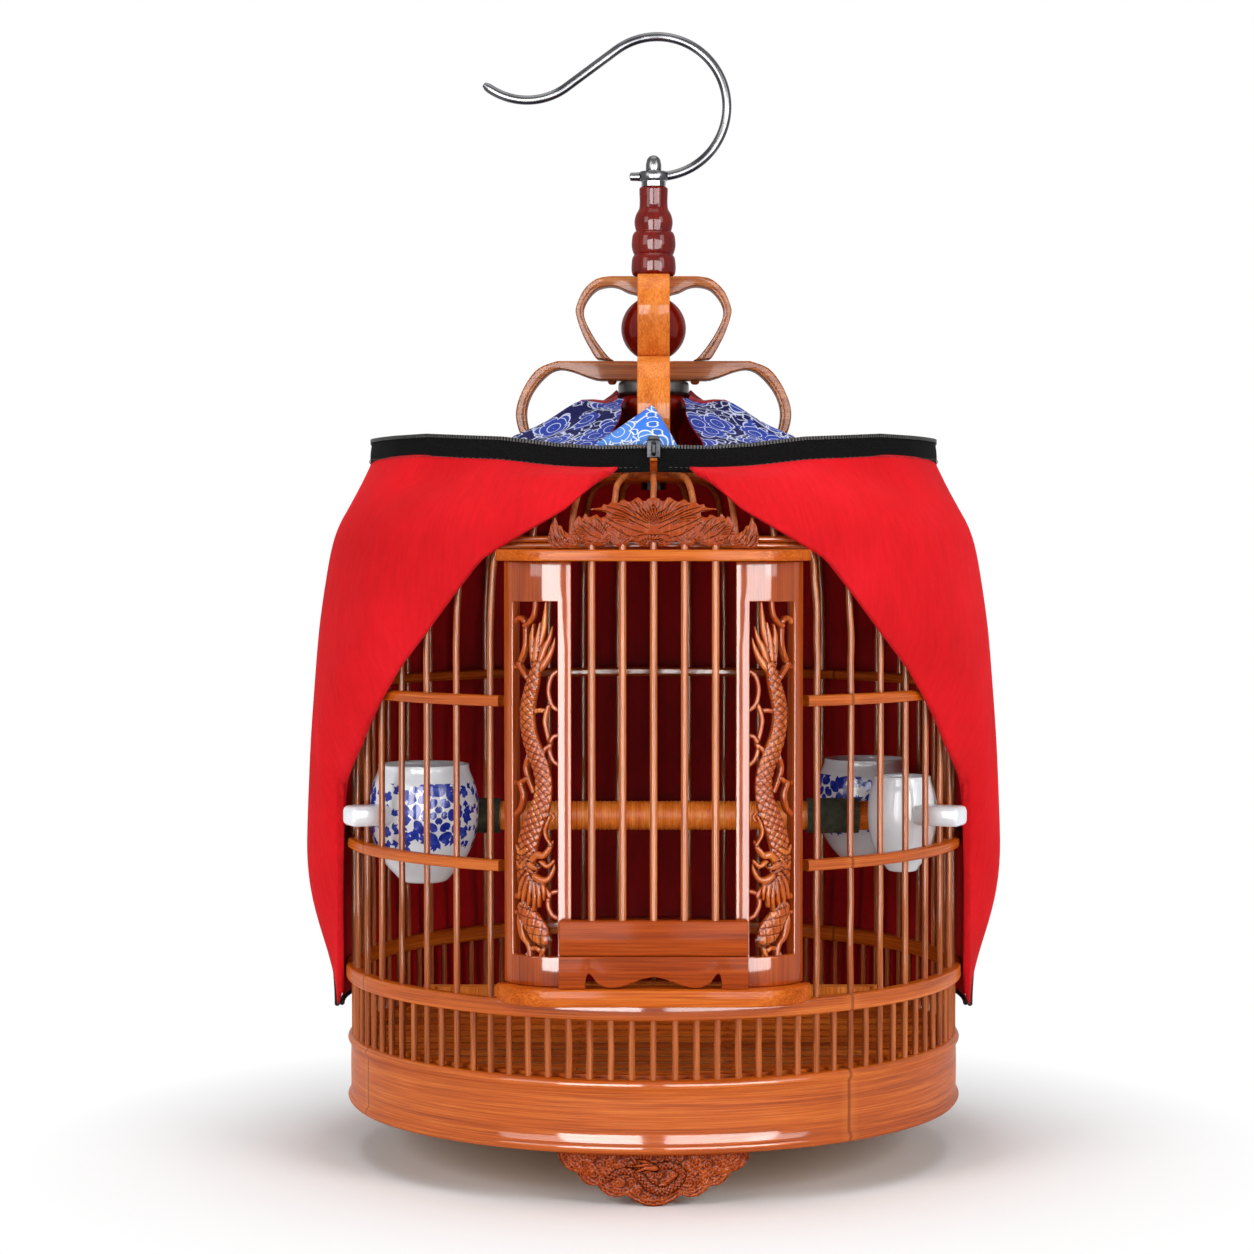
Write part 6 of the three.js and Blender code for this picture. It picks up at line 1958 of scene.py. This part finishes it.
def flap_grid(columns, rows):
    """The right flap's cloth as rows of points, from the zip down to its turned edge."""
    turns = spread(FLAP_START, FLAP_END, columns + 1)
    lines = [flap_line(angle) for angle in turns]
    points = []
    for row in range(rows + 1):
        for angle, line in zip(turns, lines):
            radius, level = along(line, row / rows)
            points.append(Vector((*around(radius, angle), level)))
    points = relax(points, columns, rows, 10)
    grid = [points[row * (columns + 1):(row + 1) * (columns + 1)] for row in range(rows + 1)]
    for row, line in enumerate(grid):
        share = row / rows
        for column, angle in enumerate(turns):
            slow = math.sin(math.radians(angle * 6 + 150 * share))
            wave = slow + 0.5 * math.sin(math.radians(angle * 12 - 130 * share))
            fade = easing(share * 5) * easing((1 - share) * 5) * easing((angle - 20) / 30)
            out = Vector((line[column].x, line[column].y, 0)).normalized()
            line[column] = line[column] + out * (FLAP_WAVE * (1.1 + wave) * fade)
    edges, before = grid[rows], grid[rows - 2]
    for k in range(len(FOLD_TURN)):
        turned = []
        for column, angle in enumerate(turns):
            beyond, inward = (FOLD_TURN if flap_low(angle) > flap_hem(angle) else HEM_TURN)[k]
            edge = edges[column]
            down = (edge - before[column]).normalized()
            out = Vector((edge.x, edge.y, 0.0)).normalized()
            turned.append(edge + down * beyond - out * inward)
        grid.append(turned)
    return turns, grid


def build_flap(side):
    """A flap's cloth, red inside and printed outside, with piping along its hem and its back edge."""
    name = "right" if side > 0 else "left"
    columns, rows = 90, 44
    turns, grid = flap_grid(columns, rows)
    flat = [p for line in grid for p in line]
    part = on_side(flat, side), grid_faces(columns, len(grid) - 1)
    item = make(f"cover_flap_{name}_cloth", part, [red_lining, blue_print], replaces=[f"cover_flap_{name}"],
                closed=False, crisp=70)
    thicken(item, CLOTH, toward_axis=True)
    for face in item.data.polygons:
        if face.material_index == 1 and (min(face.vertices) - len(flat)) // (columns + 1) >= rows - 3:
            face.material_index = 0
    hem = [edge for edge, angle in zip(grid[rows], turns) if flap_low(angle) <= flap_hem(angle) + 0.5]
    back = [grid[row][columns] for row in range(rows - 1, 2, -1)]
    make(f"flap_{name}_piping", tube(on_side(hem + back, side), PIPING_RADIUS), piping)
    return item


# The zip: where its tape starts, as a share of its width, and its teeth and stitches
TAPE_LOW = -0.06
TAPE_THICKNESS = 1.0
TOOTH_PITCH = 1.55
# A tooth's reach along the tape, out of it and up from its edge
TOOTH_REACH = ((-0.45, 0.45), (-0.9, 0.9), (-0.7, 1.1))
STITCH_PITCH = 1.35
STITCH_STEPS = (0, 0.35, 0.7)


def tape_point(angle, up, out=0.0):
    """A point of the zip tape, up its width as a share and that far off it."""
    radius, level = zip_point(angle)
    wave = 0.8 * math.sin(math.radians(angle * 4.1 + 25)) * easing((angle - 8) / 20)
    lean = 0.9 * up
    level += ZIP_WIDTH * (up - 0.5) + 0.5 * wave
    return Vector((*around(radius + 1.2 + out - lean + wave, angle), level))


def zip_tooth(angle, side):
    """The corners of one tooth on the tape's upper edge."""
    centre = tape_point(angle, 1.0, 0.1)
    ahead = (tape_point(angle + 0.5, 1.0, 0.1) - centre).normalized()
    out = Vector((centre.x, centre.y, 0)).normalized()
    up = ahead.cross(out).normalized()
    up = up if up.z > 0 else -up
    corners = [centre + ahead * a + out * b + up * c for a, b, c in itertools.product(*TOOTH_REACH)]
    return on_side(corners, side), block((0, 0, 0), (1, 1, 1))[1]


def build_zip(side):
    """One side of the zip: the tape, its teeth, its stitches and its bound end."""
    name = "right" if side > 0 else "left"
    columns, rows = 150, 8
    points = []
    for up in spread(0, 1, rows + 1):
        out = 0.5 * math.sin(math.pi * up)
        points += [tape_point(angle, lerp(TAPE_LOW, 1.0, up), out)
                   for angle in spread(ZIP_START, FLAP_END, columns + 1)]
    item = make(f"zip_tape_{name}_cloth", (on_side(points, side), grid_faces(columns, rows)),
                [zip_cloth, zip_cloth], replaces=[f"zip_tape_{name}"], closed=False, crisp=70)
    thicken(item, TAPE_THICKNESS, toward_axis=True)
    teeth = Shape()
    angle = ZIP_START
    while angle < FLAP_END - 1:
        teeth.add(zip_tooth(angle, side))
        centre = tape_point(angle, 1.0, 0.1)
        angle += math.degrees(TOOTH_PITCH / math.hypot(centre.x, centre.y))
    make(f"zip_teeth_{name}", teeth, zip_teeth, crisp=30)
    seams = Shape()
    angle = ZIP_START + 3
    while angle < FLAP_END - 3:
        path = [tape_point(angle + step, 0.14, 0.75) for step in STITCH_STEPS]
        seams.add(tube(on_side(path, side), 0.22, 6))
        angle += STITCH_PITCH
    make(f"zip_stitches_{name}", seams, stitch, crisp=60)
    end = [tape_point(FLAP_END, up, 0.3) for up in spread(TAPE_LOW, 1.0, 13)]
    make(f"zip_end_{name}", tube(on_side(end, side), 1.3), piping)
    return item


def build_slider():
    """The slider's two plates with the bar between them, and the bridge that holds the pull."""
    low, high = extent("zip_slider")
    plate = 1.6
    shape = Shape().add(block(low, (high.x, low.y + plate, high.z)))
    shape.add(block((low.x + 0.8, high.y - plate, low.z), (high.x - 0.8, high.y, high.z)))
    shape.add(block((-1.4, low.y + 1.2, lerp(low.z, high.z, 0.55)), (1.4, high.y - 1.2, high.z - 0.6)))
    make("slider_body", shape, zip_metal, replaces=["zip_slider"], bevel=0.5)
    arch = [(0.2, low.z + 1.6), (1.3, low.z + 2.6), (1.5, lerp(low.z, high.z, 0.5)), (1.3, high.z - 2.2),
            (0.2, high.z - 1.2)]
    bridge = smooth([(0, low.y - out, level) for out, level in arch], 4)
    make("slider_bridge", tube(bridge, 0.8, 10, lambda p: (1, 0, 0), 1.5), zip_metal)


def build_pull():
    low, high = extent("zip_pull")
    half = high.x
    outline = arc(0, high.y - half, half, 0, 180, 8) + [(-half * 0.8, low.y), (half * 0.8, low.y)]
    tab = prism(outline, lambda x, y, level: (x, y, low.z + level), high.z - low.z)
    make("pull_tab", tab, pull_rubber, "zip_pull", replaces=["zip_pull"], bevel=0.5)


def build_trimmings():
    """Black piping along the body's hem, and dark red binding along the roof's cuts."""
    path = [body_point(CLOTH_INNER + CLOTH / 2, COVER_HEM, angle) for angle in spread(84, 276, 120)]
    make("body_piping", tube(path, PIPING_RADIUS), piping)
    binding = Shape()
    rows = [row for row in body_rows() if row[0] < SLIT_REACH + 0.5]
    for quarter in range(4):
        for edge in (0, 1):
            beside_door = (quarter, edge) in ((0, 0), (3, 1))
            if beside_door:
                continue
            line = []
            for radius, level, _ in rows:
                aside = slit_angle(radius) + math.degrees(1.0 / radius)
                angle = 90 * quarter + aside if edge == 0 else 90 * (quarter + 1) - aside
                x, y, z = body_point(radius, level, angle)
                line.append((x, y, z + CLOTH))
            binding.add(tube(line, 1.9))
    make("slit_binding", binding, trim_red)


# The folded corner's left, right and upper end
CORNER_ENDS = [Vector((-30, -101, 375.5)), Vector((12.5, -104, 374.5)), Vector((-0.5, -77.2, 397))]


def build_corner():
    """The pale blue corner, folded over below the slider, as a puffed triangle."""
    left, right, top = CORNER_ENDS
    count = 14
    points, index = [], {}
    for i in range(count + 1):
        for k in range(count + 1 - i):
            u, v = i / count, k / count
            puff = 2.6 * math.sin(math.pi * min(u + 0.15, 1)) * (1 - v) * (1 - (1 - u - v) ** 3)
            index[(i, k)] = len(points)
            points.append(left * (1 - u - v) + right * u + top * v + Vector((0, -puff, puff * 0.5)))
    faces = []
    for i in range(count):
        for k in range(count - i):
            faces.append([index[(i, k)], index[(i + 1, k)], index[(i, k + 1)]])
            if k < count - i - 1:
                faces.append([index[(i + 1, k)], index[(i + 1, k + 1)], index[(i, k + 1)]])
    item = make("cover_corner", (points, faces), [sky_print, sky_print], closed=False, crisp=70)
    thicken(item, 1.1, toward_axis=True)
    return item


# Pieces that keep their CAD shape
def dress(node, material):
    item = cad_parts[node]
    item.data.materials.clear()
    item.data.materials.append(material)


build_rim()
build_feet()
build_bars()
build_rings()
build_roof_board()
build_planks()
for panel_side in (-1, 1):
    build_panel(panel_side)
build_threshold()
build_door()
build_crest()
build_crown()
build_hook()
build_nut()
build_perch()
for cup_sizes in CUPS:
    build_cup(cup_sizes)
cover = build_cover_body()
flaps = [build_flap(flap_side) for flap_side in (-1, 1)]
tapes = [build_zip(zip_side) for zip_side in (-1, 1)]
build_slider()
build_pull()
build_trimmings()
corner_piece = build_corner()
for bare_node, bare_material in (("floor_grate", bamboo_level), ("bottom_board", board_wood),
                                 ("floor_beam", strip_face), ("hook_washer", steel), ("tie_rod", steel)):
    dress(bare_node, bare_material)


# Stage, in metres
FILL = 0.2
FLOOR_LIT_WITHIN = 0.18
FLOOR_WHITE_BEYOND = 0.34
MIDDLE = (0, 0, 0.3)
GLEAM_LEVEL = 0.38
LENS = 86.7
LENS_SHIFT = -0.0212
CAMERA_PLACE = (0, -1.632, 0.334)
CAMERA_DIP = 0.033


def floor_material():
    """A white floor that shows the shadow near the cage and goes over to plain white further off."""
    g = Graph("floor_white", "stage")
    place = g.here()
    reach = g.node("ShaderNodeVectorMath", {0: place}, operation="LENGTH").outputs["Value"]
    cloud = g.noise(place, 2.0, 2.0, 0.5)
    tone = g.ramp(cloud, [(0.3, (0.95, 0.95, 0.95)), (0.7, (0.97, 0.97, 0.97))])
    g.done(Base_Color=tone, Roughness=0.9, Specular_IOR_Level=0.1)
    glow = g.node("ShaderNodeEmission", {"Strength": 1.0})
    path = g.node("ShaderNodeLightPath", {}).outputs
    seen = g.math("MAXIMUM", path["Is Camera Ray"], path["Is Glossy Ray"])
    seen = g.math("MAXIMUM", seen, path["Is Transmission Ray"])
    far = g.times(g.fit(reach, FLOOR_LIT_WITHIN, FLOOR_WHITE_BEYOND), seen)
    both = g.node("ShaderNodeMixShader", {0: far, 1: g.shader.outputs[0], 2: glow.outputs[0]})
    g.tree.links.new(both.outputs[0], g.tree.nodes["Material Output"].inputs["Surface"])
    return g.material


def build_floor():
    size = 30
    corners = [(-size, -size, 0), (size, -size, 0), (size, size, 0), (-size, size, 0)]
    mesh = bpy.data.meshes.new("floor")
    mesh.from_pydata(corners, [], [[0, 1, 2, 3]])
    mesh.materials.append(floor_material())
    floor = bpy.data.objects.new("floor", mesh)
    bpy.context.scene.collection.objects.link(floor)


def build_world():
    """White where the camera sees it, straight or through a gloss, and a dim fill light elsewhere."""
    world = bpy.data.worlds.new("studio")
    bpy.context.scene.world = world
    world.use_nodes = True
    nodes, links = world.node_tree.nodes, world.node_tree.links
    background = nodes["Background"]
    background.inputs["Color"].default_value = (1, 1, 1, 1)
    path = nodes.new("ShaderNodeLightPath")
    seen = path.outputs["Is Camera Ray"]
    for kind in ("Is Glossy Ray", "Is Transmission Ray"):
        either = nodes.new("ShaderNodeMath")
        either.operation = "MAXIMUM"
        links.new(seen, either.inputs[0])
        links.new(path.outputs[kind], either.inputs[1])
        seen = either.outputs[0]
    level = nodes.new("ShaderNodeMapRange")
    links.new(seen, level.inputs["Value"])
    level.inputs["To Min"].default_value = FILL
    level.inputs["To Max"].default_value = 1.0
    links.new(level.outputs[0], background.inputs["Strength"])


def add_softbox(name, place, target, width, height, power, only_gloss=False):
    light = bpy.data.lights.new(name, "AREA")
    light.shape = "RECTANGLE"
    light.size = width
    light.size_y = height
    light.energy = power
    item = bpy.data.objects.new(name, light)
    item.location = place
    item.rotation_euler = (Vector(target) - Vector(place)).to_track_quat("-Z", "Y").to_euler()
    item.visible_camera = False
    item.visible_diffuse = not only_gloss
    bpy.context.scene.collection.objects.link(item)


def build_lights():
    """Softboxes beside and above the cage, and two narrow gleams in front that only its gloss shows."""
    for name, angle, power in (("softbox_left", -46, 24), ("softbox_right", 46, 26)):
        add_softbox(name, (*around(2.2, angle), 1.0), MIDDLE, 0.9, 1.2, power)
    add_softbox("softbox_top", (0, -0.1, 2.2), MIDDLE, 1.6, 1.6, 22)
    for name, near, far, power in (("gleam_left", -0.065, -0.6, 34), ("gleam_right", 0.065, 0.9, 38)):
        x = (near + far) / 2
        place = (x, -0.95, GLEAM_LEVEL)
        add_softbox(name, place, (x, 0, GLEAM_LEVEL), abs(far - near), 0.74, power, only_gloss=True)


def build_camera():
    data = bpy.data.cameras.new("camera")
    data.sensor_width = 36
    data.lens = LENS
    data.shift_x = LENS_SHIFT
    data.clip_end = 100
    camera = bpy.data.objects.new("camera", data)
    camera.location = CAMERA_PLACE
    camera.rotation_euler = (math.pi / 2 - CAMERA_DIP, 0, 0)
    bpy.context.scene.collection.objects.link(camera)
    bpy.context.scene.camera = camera


build_floor()
build_world()
build_camera()
build_lights()
bpy.context.scene.view_settings.view_transform = "Standard"
